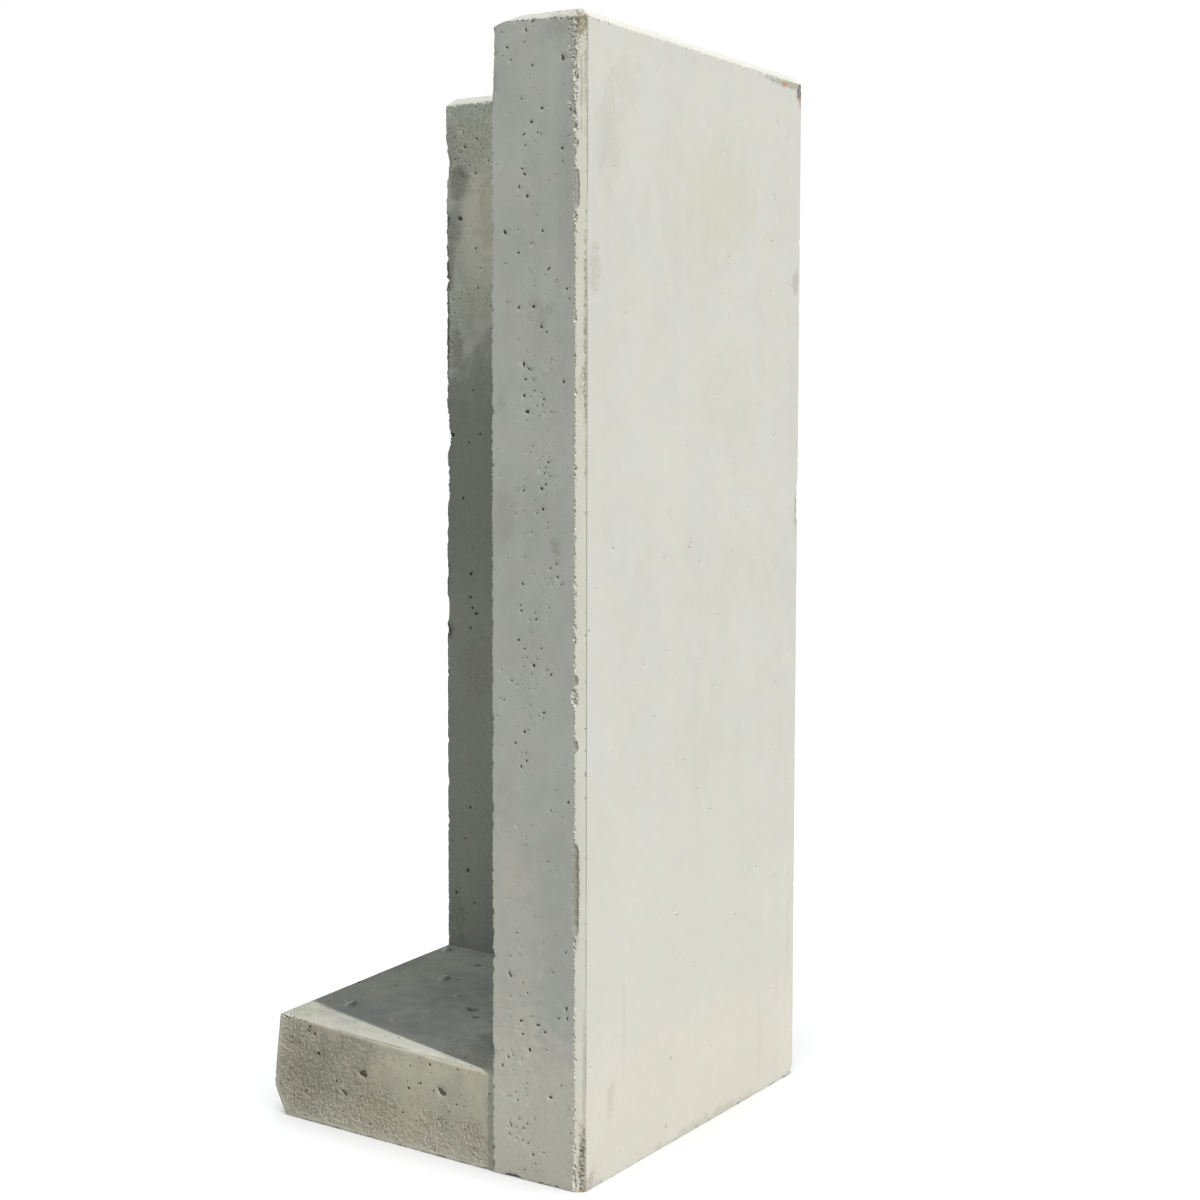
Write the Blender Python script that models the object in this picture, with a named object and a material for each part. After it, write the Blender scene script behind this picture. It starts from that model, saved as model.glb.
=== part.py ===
"""Precast concrete corner element of an L-shaped retaining wall.

Two upright panels meet at a right angle and stand on a foot slab that fills
the inner corner.  Inside the concrete are welded bar meshes, the bent bars
that tie the three castings together, and the lifting sockets.

Lengths are metres.  The model is laid out in a corner frame: X runs along the
front face, Y runs back from it, Z is up, and the zero is the front, free
corner on the ground.  An empty moves that frame so that the finished element
stands with the middle of its footprint at the world origin.
"""
import math

import bmesh
import bpy
from mathutils import Vector

# Driving dimensions
HEIGHT = 2.500                 # ground to top of both panels
WIDTH = 0.990                  # along the front face
PANEL = 0.235                  # thickness of both panels
RETURN_END = 0.9335            # rear end of the return panel
GAP = 0.0003                   # clearance between touching pieces
COVER = 0.035                  # concrete over the outermost bars

# Chamfers left by the formwork fillets
TOP_CHAMFER = 0.019
FREE_CHAMFER_FRONT = 0.0138    # upright arris at the free end, along the front face
FREE_CHAMFER_SIDE = 0.0195     # and along the end face
CORNER_CHAMFER = 0.019         # upright arris at the outer corner
END_CHAMFER = 0.014            # upright arris at the end of the return panel

# Foot slab: its top and its free side are planes that lean with depth
FOOT_FRONT = PANEL + GAP
FOOT_FAR_SIDE = WIDTH - PANEL - GAP
FOOT_TOP_AT_PANEL = 0.2226
FOOT_TOP_RISE = 0.0326         # per metre of depth
FOOT_SIDE_SETBACK = 0.003      # free side, where it meets the front panel
FOOT_SIDE_RISE = 0.0380        # per metre of depth
HEEL_TOP = 0.8805              # heel edges, measured at the free side
HEEL_WIDEST = 0.9011
HEEL_BOTTOM = 0.8643
HEEL_WIDEST_HEIGHT = 0.0681
HEEL_SKEW = 0.0728             # extra depth per metre toward the return panel

# Reinforcement
MAIN_BAR = 0.012
LINK_BAR = 0.010
CROSS_BAR = 0.008
WELD = 0.0006                  # how far crossing bars sink into each other
BEND_RADIUS = 0.030
BEND_STEPS = 2
BAR_SIDES = 6
END_MARGIN = 0.060             # from a casting's end to its outermost bar
CORNER_MARGIN = 0.100          # from the outer corner to the nearest upright
FOOT_MARGIN = 0.080            # from the foot's free side, or from the panel, to its first bar
LOWEST_CROSS_BAR = 0.300       # height, in the upright meshes
FRONT_UPRIGHTS = 5
RETURN_UPRIGHTS = 4
CROSS_BARS = 7                 # in each upright mesh
FOOT_BARS = 4                  # each way in both foot meshes
DOWEL_TOP = 0.950              # heights where the bent bars end in the panels
TOP_BAR_END = 0.750
FOOT_LINK_END = 0.600
FOOT_LINK_START = 0.400        # along the front face
FOOT_LINK_LIFT = 0.060         # above the cross bars of the foot's bottom mesh
HAIRPIN_SHORT = 0.180          # from the ends of the U bars to the return panel's end
DOWEL_SHIFT = 0.040            # how far each family of bars stands beside the mesh bars
TOP_BAR_SHIFT = 0.090
HAIRPIN_SHIFT = 0.100
FOOT_LINK_SHIFT = 0.070

# Lifting sockets
SOCKET_RADIUS = 0.020
SOCKET_BORE = 0.014
SOCKET_LENGTH = 0.120
SOCKET_FLOOR = 0.040           # solid end below the bore, crossed by the tail bar
SOCKET_SIDES = 16
PLUG_HEAD_RADIUS = 0.026
PLUG_HEAD_HEIGHT = 0.004
PLUG_DEPTH = 0.045
TAIL_DROP = 0.020              # tail bar's centre above the socket's lower end
TAIL_SPREAD = 0.045
TAIL_LENGTH = 0.450

CONCRETE = (0.52, 0.51, 0.45, 1.0)
DARK_CONCRETE = (0.31, 0.31, 0.27, 1.0)
SPACER_CONCRETE = (0.40, 0.40, 0.38, 1.0)
BAR_STEEL = (0.26, 0.16, 0.11, 1.0)
SOCKET_STEEL = (0.58, 0.57, 0.53, 1.0)
PLUG_PLASTIC = (0.75, 0.30, 0.03, 1.0)
SPACER_PLASTIC = (0.42, 0.42, 0.42, 1.0)

X_AXIS = Vector((1, 0, 0))
Y_AXIS = Vector((0, 1, 0))
Z_AXIS = Vector((0, 0, 1))


def clear_scene():
    for item in list(bpy.data.objects):
        bpy.data.objects.remove(item, do_unlink=True)


def material(name, colour, roughness, metallic=0.0):
    made = bpy.data.materials.new(name)
    made.use_nodes = True
    shader = made.node_tree.nodes["Principled BSDF"]
    shader.inputs["Base Color"].default_value = colour
    shader.inputs["Roughness"].default_value = roughness
    shader.inputs["Metallic"].default_value = metallic
    return made


def element_frame():
    frame = bpy.data.objects.new("element_frame", None)
    frame.location = (-WIDTH / 2, -far_heel(HEEL_WIDEST) / 2, 0)
    bpy.context.scene.collection.objects.link(frame)
    return frame


def add_object(name, shape, finish=None):
    """Turn a bmesh into a named object that hangs from the element's frame."""
    bmesh.ops.recalc_face_normals(shape, faces=shape.faces)
    mesh = bpy.data.meshes.new(name)
    shape.to_mesh(mesh)
    shape.free()
    made = bpy.data.objects.new(name, mesh)
    made.parent = bpy.data.objects["element_frame"]
    bpy.context.scene.collection.objects.link(made)
    if finish:
        mesh.materials.append(finish)
    return made


def as_cutter(made):
    made.hide_render = True
    made.display_type = 'WIRE'
    return made


def add_boolean(target, other, operation):
    step = target.modifiers.new(operation.lower() + "_" + other.name, 'BOOLEAN')
    step.operation = operation
    step.solver = 'EXACT'
    step.object = other


def loft(shape, rings):
    """Skin a stack of equal rings and close both ends."""
    placed = [[shape.verts.new(point) for point in ring] for ring in rings]
    for lower, upper in zip(placed, placed[1:]):
        for i, corner in enumerate(lower):
            j = (i + 1) % len(lower)
            shape.faces.new((corner, lower[j], upper[j], upper[i]))
    shape.faces.new(list(reversed(placed[0])))
    shape.faces.new(placed[-1])


# ---------------------------------------------------------------- castings

def free_side_at(depth):
    """Place of the foot's free side at a depth."""
    return FOOT_SIDE_SETBACK + FOOT_SIDE_RISE * (depth - FOOT_FRONT)


def foot_top_at(depth):
    """Height of the foot's top at a depth."""
    return FOOT_TOP_AT_PANEL + FOOT_TOP_RISE * (depth - FOOT_FRONT)


def far_heel(depth):
    """Depth at the return panel of a heel edge given at the free side."""
    return depth + HEEL_SKEW * (FOOT_FAR_SIDE - free_side_at(depth))


def wall_outline():
    """The two panels seen from above, with their upright arrises chamfered."""
    inner = WIDTH - PANEL
    return [
        Vector((FREE_CHAMFER_FRONT, 0, 0)),
        Vector((WIDTH - CORNER_CHAMFER, 0, 0)),
        Vector((WIDTH, CORNER_CHAMFER, 0)),
        Vector((WIDTH, RETURN_END - END_CHAMFER, 0)),
        Vector((WIDTH - END_CHAMFER, RETURN_END, 0)),
        Vector((inner, RETURN_END, 0)),
        Vector((inner, PANEL, 0)),
        Vector((0, PANEL, 0)),
        Vector((0, FREE_CHAMFER_SIDE, 0)),
    ]


def inset_outline(outline, amount):
    """Move each side of a counter-clockwise outline inward by the same amount."""
    moved = []
    count = len(outline)
    for i, corner in enumerate(outline):
        before = (corner - outline[i - 1]).normalized()
        after = (outline[(i + 1) % count] - corner).normalized()
        inward_before = Z_AXIS.cross(before)
        inward_after = Z_AXIS.cross(after)
        reach = amount / (1 + inward_before.dot(inward_after))
        moved.append(corner + (inward_before + inward_after) * reach)
    return moved


def wall_shape():
    """Both panels as one chamfered prism, before it is split at the joint."""
    outline = wall_outline()
    shape = bmesh.new()
    loft(shape, [
        outline,
        [point + Z_AXIS * (HEIGHT - TOP_CHAMFER) for point in outline],
        [point + Z_AXIS * HEIGHT for point in inset_outline(outline, TOP_CHAMFER)],
    ])
    return shape


def keep_one_side(shape, depth, keep_front):
    """Cut a shape at a depth and close the cut."""
    bmesh.ops.triangulate(shape, faces=shape.faces)
    everything = list(shape.verts) + list(shape.edges) + list(shape.faces)
    bmesh.ops.bisect_plane(
        shape, geom=everything, dist=1e-6, plane_co=(0, depth, 0), plane_no=Y_AXIS,
        clear_outer=keep_front, clear_inner=not keep_front)
    rim = [edge for edge in shape.edges if edge.is_boundary]
    bmesh.ops.holes_fill(shape, edges=rim, sides=0)


def front_wall_panel(finish):
    shape = wall_shape()
    keep_one_side(shape, PANEL, keep_front=True)
    return add_object("front_wall_panel", shape, finish)


def return_wall_panel(finish):
    shape = wall_shape()
    keep_one_side(shape, PANEL + GAP, keep_front=False)
    return add_object("return_wall_panel", shape, finish)


def foot_slab(finish):
    """The slab in the inner corner: sloping top, flared and undercut heel."""
    heel = ((HEEL_BOTTOM, 0), (HEEL_WIDEST, HEEL_WIDEST_HEIGHT), (HEEL_TOP, None))
    free_end = [Vector((FOOT_SIDE_SETBACK, FOOT_FRONT, 0))]
    far_end = [Vector((FOOT_FAR_SIDE, FOOT_FRONT, 0))]
    for depth, height in heel:
        far_depth = far_heel(depth)
        near_height = foot_top_at(depth) if height is None else height
        far_height = foot_top_at(far_depth) if height is None else height
        free_end.append(Vector((free_side_at(depth), depth, near_height)))
        far_end.append(Vector((FOOT_FAR_SIDE, far_depth, far_height)))
    free_end.append(Vector((FOOT_SIDE_SETBACK, FOOT_FRONT, FOOT_TOP_AT_PANEL)))
    far_end.append(Vector((FOOT_FAR_SIDE, FOOT_FRONT, FOOT_TOP_AT_PANEL)))

    shape = bmesh.new()
    loft(shape, [free_end, far_end])
    bmesh.ops.triangulate(shape, faces=shape.faces)
    return add_object("foot_slab", shape, finish)


# ----------------------------------------------------------- steel bars

def rounded_path(points, radius):
    """Replace the inner corners of a path by short arcs."""
    path = [points[0]]
    for before, corner, after in zip(points, points[1:], points[2:]):
        arriving = (corner - before).normalized()
        leaving = (after - corner).normalized()
        turn = arriving.angle(leaving)
        tangent = radius * math.tan(turn / 2)
        inward = (leaving - arriving).normalized()
        centre = corner + inward * (radius / math.cos(turn / 2))
        start = corner - arriving * tangent - centre
        for step in range(BEND_STEPS + 1):
            angle = turn * step / BEND_STEPS
            path.append(centre + start * math.cos(angle) + arriving * radius * math.sin(angle))
    path.append(points[-1])
    return path


def add_bar(shape, points, diameter, side, grow=0.0):
    """Sweep a six-sided bar along a path.

    `side` is square to the plane the bar is bent in, and the bar's flats face
    the other way, so that crossing bars meet flat to flat.
    """
    path = rounded_path([Vector(point) for point in points], BEND_RADIUS)
    path[0] = path[0] + (path[0] - path[1]).normalized() * grow
    path[-1] = path[-1] + (path[-1] - path[-2]).normalized() * grow
    reach = (diameter / 2 + grow) / math.cos(math.pi / BAR_SIDES)
    rings = []
    for i, point in enumerate(path):
        before = (point - path[i - 1]).normalized() if i else None
        after = (path[i + 1] - point).normalized() if i + 1 < len(path) else None
        before = before or after
        after = after or before
        across = side.cross(before + after).normalized()
        stretch = 1 / math.cos(before.angle(after) / 2)
        ring = []
        for k in range(BAR_SIDES):
            angle = 2 * math.pi * k / BAR_SIDES
            ring.append(point + side * (reach * math.cos(angle))
                        + across * (reach * stretch * math.sin(angle)))
        rings.append(ring)
    loft(shape, rings)


def bar_piece(name, points, diameter, side, finish):
    shape = bmesh.new()
    add_bar(shape, points, diameter, side)
    return add_object(name, shape, finish)


def bar_cutter(name, paths, diameter, side):
    """All the channels that a family of separate bars leaves in the concrete."""
    shape = bmesh.new()
    for points in paths:
        add_bar(shape, points, diameter, side, GAP)
    return as_cutter(add_object(name, shape))


def straight_bars(origin, direction, length, step_axis, places):
    """Paths of parallel bars: one for each place along the step axis."""
    return [(origin + step_axis * place, origin + step_axis * place + direction * length)
            for place in places]


def welded_mesh(name, normal, main, cross, finish):
    """A flat mesh of main bars with cross bars welded on the inner side.

    `main` and `cross` are (paths, diameter).  Returns the cutters for both.
    """
    layers = []
    for label, (paths, diameter) in (("main", main), ("cross", cross)):
        side = (paths[0][1] - paths[0][0]).normalized().cross(normal)
        solid = bmesh.new()
        for points in paths:
            add_bar(solid, points, diameter, side)
        layers.append(solid)
        bar_cutter(name + "_" + label + "_channels", paths, diameter, side)
    sheet = add_object(name, layers[0], finish)
    cross_bars = as_cutter(add_object(name + "_cross_bars", layers[1]))
    add_boolean(sheet, cross_bars, 'UNION')
    return [bpy.data.objects[name + "_main_channels"],
            bpy.data.objects[name + "_cross_channels"]]


def spread(first, last, count):
    return [first + (last - first) * i / (count - 1) for i in range(count)]


def main_layer(diameter=MAIN_BAR):
    """Distance from a face to the middle of the bars nearest to it."""
    return COVER + diameter / 2


def cross_layer(diameter=MAIN_BAR):
    """Distance from a face to the middle of the welded cross bars."""
    return main_layer(diameter) + (diameter + CROSS_BAR) / 2 - WELD


def panel_mesh(name, corner, along, inward, width, places, levels, diameter, finish):
    """An upright mesh: main bars upright at places, cross bars at levels."""
    start = corner + inward * main_layer(diameter)
    main = straight_bars(start + Z_AXIS * COVER, Z_AXIS, HEIGHT - 2 * COVER, along, places)
    start = corner + inward * cross_layer(diameter) + along * COVER
    cross = straight_bars(start, along, width - 2 * COVER, Z_AXIS, levels)
    return welded_mesh(name, inward, (main, diameter), (cross, CROSS_BAR), finish)


UPRIGHTS_FRONT = spread(END_MARGIN, WIDTH - CORNER_MARGIN, FRONT_UPRIGHTS)
UPRIGHTS_RETURN = spread(END_MARGIN, RETURN_END - PANEL - END_MARGIN, RETURN_UPRIGHTS)
CROSS_LEVELS = spread(LOWEST_CROSS_BAR, HEIGHT - END_MARGIN, CROSS_BARS)


def front_meshes(finish):
    soil = panel_mesh("front_panel_soil_mesh", Vector((0, PANEL, 0)), X_AXIS, -Y_AXIS,
                      WIDTH, UPRIGHTS_FRONT, CROSS_LEVELS, MAIN_BAR, finish)
    face = panel_mesh("front_panel_face_mesh", Vector((0, 0, 0)), X_AXIS, Y_AXIS,
                      WIDTH, UPRIGHTS_FRONT, CROSS_LEVELS, LINK_BAR, finish)
    return soil + face


def return_meshes(finish):
    width = RETURN_END - PANEL
    soil = panel_mesh("return_panel_soil_mesh", Vector((WIDTH - PANEL, PANEL, 0)), Y_AXIS, X_AXIS,
                      width, UPRIGHTS_RETURN, CROSS_LEVELS, MAIN_BAR, finish)
    face = panel_mesh("return_panel_face_mesh", Vector((WIDTH, PANEL, 0)), Y_AXIS, -X_AXIS,
                      width, UPRIGHTS_RETURN, CROSS_LEVELS, LINK_BAR, finish)
    return soil + face


FOOT_BAR_PLACES = spread(FOOT_MARGIN, WIDTH - PANEL - END_MARGIN, FOOT_BARS)
FOOT_CROSS_PLACES = spread(PANEL + FOOT_MARGIN, HEEL_TOP - END_MARGIN, FOOT_BARS)
FOOT_TOP_LEVEL = FOOT_TOP_AT_PANEL - main_layer()
FOOT_BOTTOM_LEVEL = main_layer()
FOOT_CROSS_STEP = cross_layer() - main_layer()


def foot_mesh(name, level, inward, finish):
    """A flat mesh: main bars front to back, cross bars on the inner side."""
    length = HEEL_TOP - COVER - PANEL - COVER
    start = Vector((0, PANEL + COVER, level))
    main = straight_bars(start, Y_AXIS, length, X_AXIS, FOOT_BAR_PLACES)
    start = Vector((free_side_at(HEEL_WIDEST) + COVER, 0, level)) + inward * FOOT_CROSS_STEP
    length = WIDTH - PANEL - COVER - start.x
    cross = straight_bars(start, X_AXIS, length, Y_AXIS, FOOT_CROSS_PLACES)
    return welded_mesh(name, inward, (main, MAIN_BAR), (cross, CROSS_BAR), finish)


def foot_meshes(finish):
    return (foot_mesh("foot_top_mesh", FOOT_TOP_LEVEL, -Z_AXIS, finish)
            + foot_mesh("foot_bottom_mesh", FOOT_BOTTOM_LEVEL, Z_AXIS, finish))


# Bent bars that cross from one casting into another.  Each touches the cross
# bars of a mesh, with the usual clearance, so its channel opens the mesh's.
TIE_CLEARANCE = WELD + GAP
DOWEL_PLACES = [place + DOWEL_SHIFT for place in FOOT_BAR_PLACES[:3]]
TOP_BAR_PLACES = [place + TOP_BAR_SHIFT for place in FOOT_BAR_PLACES[:3]]
HAIRPIN_LEVELS = [level + HAIRPIN_SHIFT for level in CROSS_LEVELS[1:6]]
FOOT_LINK_PLACES = [place + FOOT_LINK_SHIFT for place in FOOT_CROSS_PLACES[:3]]


def dowel_path(x):
    """Down the soil side of the front panel, then back along the foot's bottom."""
    depth = PANEL - main_layer() + TIE_CLEARANCE
    level = FOOT_BOTTOM_LEVEL - TIE_CLEARANCE
    return [(x, depth, DOWEL_TOP), (x, depth, level), (x, HEEL_TOP - 2 * COVER, level)]


def top_bar_path(x):
    """Forward along the foot's top, through the panel and up its face side."""
    depth = cross_layer(LINK_BAR) + (CROSS_BAR + MAIN_BAR) / 2 + GAP
    level = FOOT_TOP_LEVEL + TIE_CLEARANCE
    return [(x, HEEL_TOP - 2 * COVER, level), (x, depth, level), (x, depth, TOP_BAR_END)]


def hairpin_path(z):
    """A level U: closed end in the front panel, legs down both return meshes."""
    step = (CROSS_BAR + LINK_BAR) / 2
    inner = WIDTH - PANEL + main_layer() + (MAIN_BAR + LINK_BAR) / 2 + GAP
    outer = WIDTH - main_layer(LINK_BAR) - LINK_BAR - GAP
    closed = cross_layer(LINK_BAR) + step + GAP
    reach = RETURN_END - HAIRPIN_SHORT
    return [(inner, reach, z), (inner, closed, z), (outer, closed, z), (outer, reach, z)]


def foot_link_path(y):
    """Across the foot, into the return panel and up beside its face mesh."""
    outer = WIDTH - cross_layer(LINK_BAR) - (CROSS_BAR + LINK_BAR) / 2 - GAP
    level = FOOT_BOTTOM_LEVEL + FOOT_CROSS_STEP + FOOT_LINK_LIFT
    return [(FOOT_LINK_START, y, level), (outer, y, level), (outer, y, FOOT_LINK_END)]


BAR_FAMILIES = (
    ("panel_dowel_bar", dowel_path, DOWEL_PLACES, MAIN_BAR, X_AXIS),
    ("foot_top_bar", top_bar_path, TOP_BAR_PLACES, MAIN_BAR, X_AXIS),
    ("corner_hairpin_bar", hairpin_path, HAIRPIN_LEVELS, LINK_BAR, Z_AXIS),
    ("foot_link_bar", foot_link_path, FOOT_LINK_PLACES, LINK_BAR, Y_AXIS),
)


def bent_bars(finish):
    """Every bent bar as its own piece, and one cutter for each family."""
    cutters = {}
    for name, path_at, places, diameter, side in BAR_FAMILIES:
        paths = [path_at(place) for place in places]
        for number, points in enumerate(paths, 1):
            bar_piece(f"{name}_{number}", points, diameter, side, finish)
        cutters[name] = bar_cutter(name + "_channels", paths, diameter, side)
    return cutters


# ------------------------------------------------------ lifting sockets

SOCKET_PLACES = (
    (Vector((0.255, PANEL / 2, HEIGHT)), X_AXIS),
    (Vector((0.640, PANEL / 2, HEIGHT)), X_AXIS),
    (Vector((WIDTH - PANEL / 2, 0.640, HEIGHT)), Y_AXIS),
)


def turned(name, centre, profile, finish=None):
    """A turned solid, with its profile given from bottom to top."""
    shape = bmesh.new()
    rings = []
    for radius, height in profile:
        ring = []
        for k in range(SOCKET_SIDES):
            angle = 2 * math.pi * (k + 0.5) / SOCKET_SIDES
            ring.append(centre + Vector((radius * math.cos(angle),
                                         radius * math.sin(angle), height)))
        rings.append(ring)
    loft(shape, rings)
    return add_object(name, shape, finish)


# Turned profiles are (radius, height) pairs, with the panel's top face at zero.
SOCKET_TOP = -PLUG_HEAD_HEIGHT - GAP

# Flat head let into the top face, and a shank that fills the mouth of the bore
PLUG_PROFILE = (
    (SOCKET_BORE - GAP, -PLUG_DEPTH),
    (SOCKET_BORE - GAP, -PLUG_HEAD_HEIGHT),
    (PLUG_HEAD_RADIUS, -PLUG_HEAD_HEIGHT),
    (PLUG_HEAD_RADIUS, 0.0),
)
SOCKET_PROFILE = ((SOCKET_RADIUS, -SOCKET_LENGTH), (SOCKET_RADIUS, SOCKET_TOP))
BORE_PROFILE = ((SOCKET_BORE, -SOCKET_LENGTH + SOCKET_FLOOR), (SOCKET_BORE, PLUG_HEAD_HEIGHT))
POCKET_PROFILE = (
    (SOCKET_RADIUS + GAP, -SOCKET_LENGTH - GAP),
    (SOCKET_RADIUS + GAP, SOCKET_TOP),
    (PLUG_HEAD_RADIUS + GAP, SOCKET_TOP),
    (PLUG_HEAD_RADIUS + GAP, PLUG_HEAD_HEIGHT),
)


def tail_path(centre, along):
    """Bar through the socket's cross hole, bent down on both sides."""
    level = centre - Z_AXIS * (SOCKET_LENGTH - TAIL_DROP)
    near = level - along * TAIL_SPREAD
    far = level + along * TAIL_SPREAD
    drop = Z_AXIS * TAIL_LENGTH
    return [near - drop, near, far, far - drop]


def lifting_sockets(socket_finish, plug_finish, bar_finish):
    """Sockets, plugs and tail bars.  Returns the cutters for each place."""
    cutters = []
    for number, (centre, along) in enumerate(SOCKET_PLACES, 1):
        side = Z_AXIS.cross(along)
        path = tail_path(centre, along)
        bar_piece(f"anchor_tail_bar_{number}", path, LINK_BAR, side, bar_finish)
        tail = bar_cutter(f"anchor_tail_channel_{number}", [path], LINK_BAR, side)
        socket = turned(f"lifting_socket_{number}", centre, SOCKET_PROFILE, socket_finish)
        bore = as_cutter(turned(f"socket_bore_{number}", centre, BORE_PROFILE))
        add_boolean(socket, bore, 'DIFFERENCE')
        add_boolean(socket, tail, 'DIFFERENCE')
        turned(f"socket_plug_{number}", centre, PLUG_PROFILE, plug_finish)
        pocket = as_cutter(turned(f"socket_pocket_{number}", centre, POCKET_PROFILE))
        cutters.append([pocket, tail])
    return cutters


# ------------------------------------------------------------- spacers

FACE_SPACER_PLACES = ((0.370, 0.198), (0.350, 0.045), (0.640, 1.350), (0.330, 1.350))
SPACER_TIP = 0.005
SPACER_BASE = 0.011
BLOCK_SIZE = 0.040


def face_spacers(finish):
    """Plastic cones between the face mesh and the formwork of the front face."""
    cutter = bmesh.new()
    length = cross_layer(LINK_BAR) - CROSS_BAR / 2 - 2 * GAP
    for number, (x, z) in enumerate(FACE_SPACER_PLACES, 1):
        for grow, shape in ((0.0, bmesh.new()), (GAP, cutter)):
            rings = []
            for radius, depth in ((SPACER_TIP + grow, -grow), (SPACER_BASE + grow, length + grow)):
                ring = []
                for k in range(SOCKET_SIDES):
                    angle = 2 * math.pi * k / SOCKET_SIDES
                    ring.append(Vector((x + radius * math.cos(angle), depth,
                                        z + radius * math.sin(angle))))
                rings.append(ring)
            loft(shape, rings)
            if shape is not cutter:
                add_object(f"face_spacer_{number}", shape, finish)
    return as_cutter(add_object("face_spacer_holes", cutter))


def foot_blocks(finish):
    """Small concrete blocks that hold the foot's bottom mesh off the ground."""
    cutter = bmesh.new()
    top = FOOT_BOTTOM_LEVEL - MAIN_BAR / 2 - GAP
    places = [(x, y) for x in (FOOT_BAR_PLACES[0], FOOT_BAR_PLACES[2])
              for y in (FOOT_CROSS_PLACES[0], FOOT_CROSS_PLACES[3])]
    half = BLOCK_SIZE / 2
    corners = ((-half, -half), (half, -half), (half, half), (-half, half))
    for number, (x, y) in enumerate(places, 1):
        for grow, shape in ((0.0, bmesh.new()), (GAP, cutter)):
            scale = 1 + grow / half
            ring = [Vector((x + a * scale, y + b * scale, 0)) for a, b in corners]
            loft(shape, [[p + Z_AXIS * (GAP - 2 * grow) for p in ring],
                         [p + Z_AXIS * (top + grow) for p in ring]])
            if shape is not cutter:
                add_object(f"foot_spacer_block_{number}", shape, finish)
    return as_cutter(add_object("foot_block_pockets", cutter))


# ---------------------------------------------------------------- build

def build():
    clear_scene()
    element_frame()
    concrete = material("concrete", CONCRETE, 0.85)
    dark_concrete = material("dark_concrete", DARK_CONCRETE, 0.9)
    bar_steel = material("bar_steel", BAR_STEEL, 0.6, 0.8)
    socket_steel = material("socket_steel", SOCKET_STEEL, 0.35, 1.0)
    plug_plastic = material("plug_plastic", PLUG_PLASTIC, 0.45)
    spacer_plastic = material("spacer_plastic", SPACER_PLASTIC, 0.5)
    spacer_concrete = material("spacer_concrete", SPACER_CONCRETE, 0.9)

    front = front_wall_panel(concrete)
    back = return_wall_panel(dark_concrete)
    foot = foot_slab(dark_concrete)

    bars = bent_bars(bar_steel)
    sockets = lifting_sockets(socket_steel, plug_plastic, bar_steel)
    front_cutters = front_meshes(bar_steel) + sockets[0] + sockets[1]
    front_cutters += [bars["panel_dowel_bar"], bars["foot_top_bar"], bars["corner_hairpin_bar"]]
    front_cutters.append(face_spacers(spacer_plastic))
    back_cutters = return_meshes(bar_steel) + sockets[2]
    back_cutters += [bars["corner_hairpin_bar"], bars["foot_link_bar"]]
    foot_cutters = foot_meshes(bar_steel)
    foot_cutters += [bars["panel_dowel_bar"], bars["foot_top_bar"], bars["foot_link_bar"]]
    foot_cutters.append(foot_blocks(spacer_concrete))

    for casting, cutters in ((front, front_cutters), (back, back_cutters), (foot, foot_cutters)):
        for cutter in cutters:
            add_boolean(casting, cutter, 'DIFFERENCE')


build()
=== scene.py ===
"""Looks of the precast concrete corner element.

Each casting is rebuilt as one fine mesh: its flat faces are filled with points,
its arrises are ragged and chipped, and air bubbles leave real pits.
Lengths are metres.  Places are given in a corner frame, (along, back, up) from
the free front corner on the ground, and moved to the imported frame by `at`.
"""
import math

import bpy
import numpy as np
from mathutils import Matrix, Vector
from mathutils.geometry import delaunay_2d_cdt


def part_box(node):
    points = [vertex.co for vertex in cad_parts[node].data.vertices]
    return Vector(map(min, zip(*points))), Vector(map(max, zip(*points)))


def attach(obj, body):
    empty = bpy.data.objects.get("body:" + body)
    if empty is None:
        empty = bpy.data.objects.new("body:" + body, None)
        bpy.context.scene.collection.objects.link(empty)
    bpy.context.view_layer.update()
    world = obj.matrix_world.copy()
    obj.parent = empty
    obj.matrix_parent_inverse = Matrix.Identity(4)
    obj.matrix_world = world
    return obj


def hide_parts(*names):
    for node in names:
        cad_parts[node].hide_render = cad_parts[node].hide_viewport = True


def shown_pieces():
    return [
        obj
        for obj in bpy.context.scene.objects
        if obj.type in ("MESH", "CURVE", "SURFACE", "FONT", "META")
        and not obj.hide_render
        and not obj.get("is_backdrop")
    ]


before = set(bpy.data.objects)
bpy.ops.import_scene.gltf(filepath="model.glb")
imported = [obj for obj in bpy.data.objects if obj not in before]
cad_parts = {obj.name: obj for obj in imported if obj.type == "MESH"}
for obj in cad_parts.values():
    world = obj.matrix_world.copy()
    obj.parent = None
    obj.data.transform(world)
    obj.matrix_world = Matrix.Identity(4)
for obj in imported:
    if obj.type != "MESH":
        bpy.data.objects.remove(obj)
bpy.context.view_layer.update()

PANEL_LOW, PANEL_HIGH = (Vector(corner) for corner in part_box("front_wall_panel"))
RETURN_LOW, RETURN_HIGH = (Vector(corner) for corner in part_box("return_wall_panel"))
FOOT_LOW, FOOT_HIGH = (Vector(corner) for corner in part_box("foot_slab"))

# Driving dimensions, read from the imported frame
ORIGIN = PANEL_LOW.copy()
WIDTH = PANEL_HIGH.x - PANEL_LOW.x
PANEL = PANEL_HIGH.y - PANEL_LOW.y
HEIGHT = PANEL_HIGH.z
INNER = RETURN_LOW.x - ORIGIN.x
RETURN_START = RETURN_LOW.y - ORIGIN.y
RETURN_END = RETURN_HIGH.y - ORIGIN.y
FOOT_START = FOOT_LOW.y - ORIGIN.y
FOOT_SIDE = FOOT_LOW.x - ORIGIN.x
FOOT_FAR = FOOT_HIGH.x - ORIGIN.x

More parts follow.
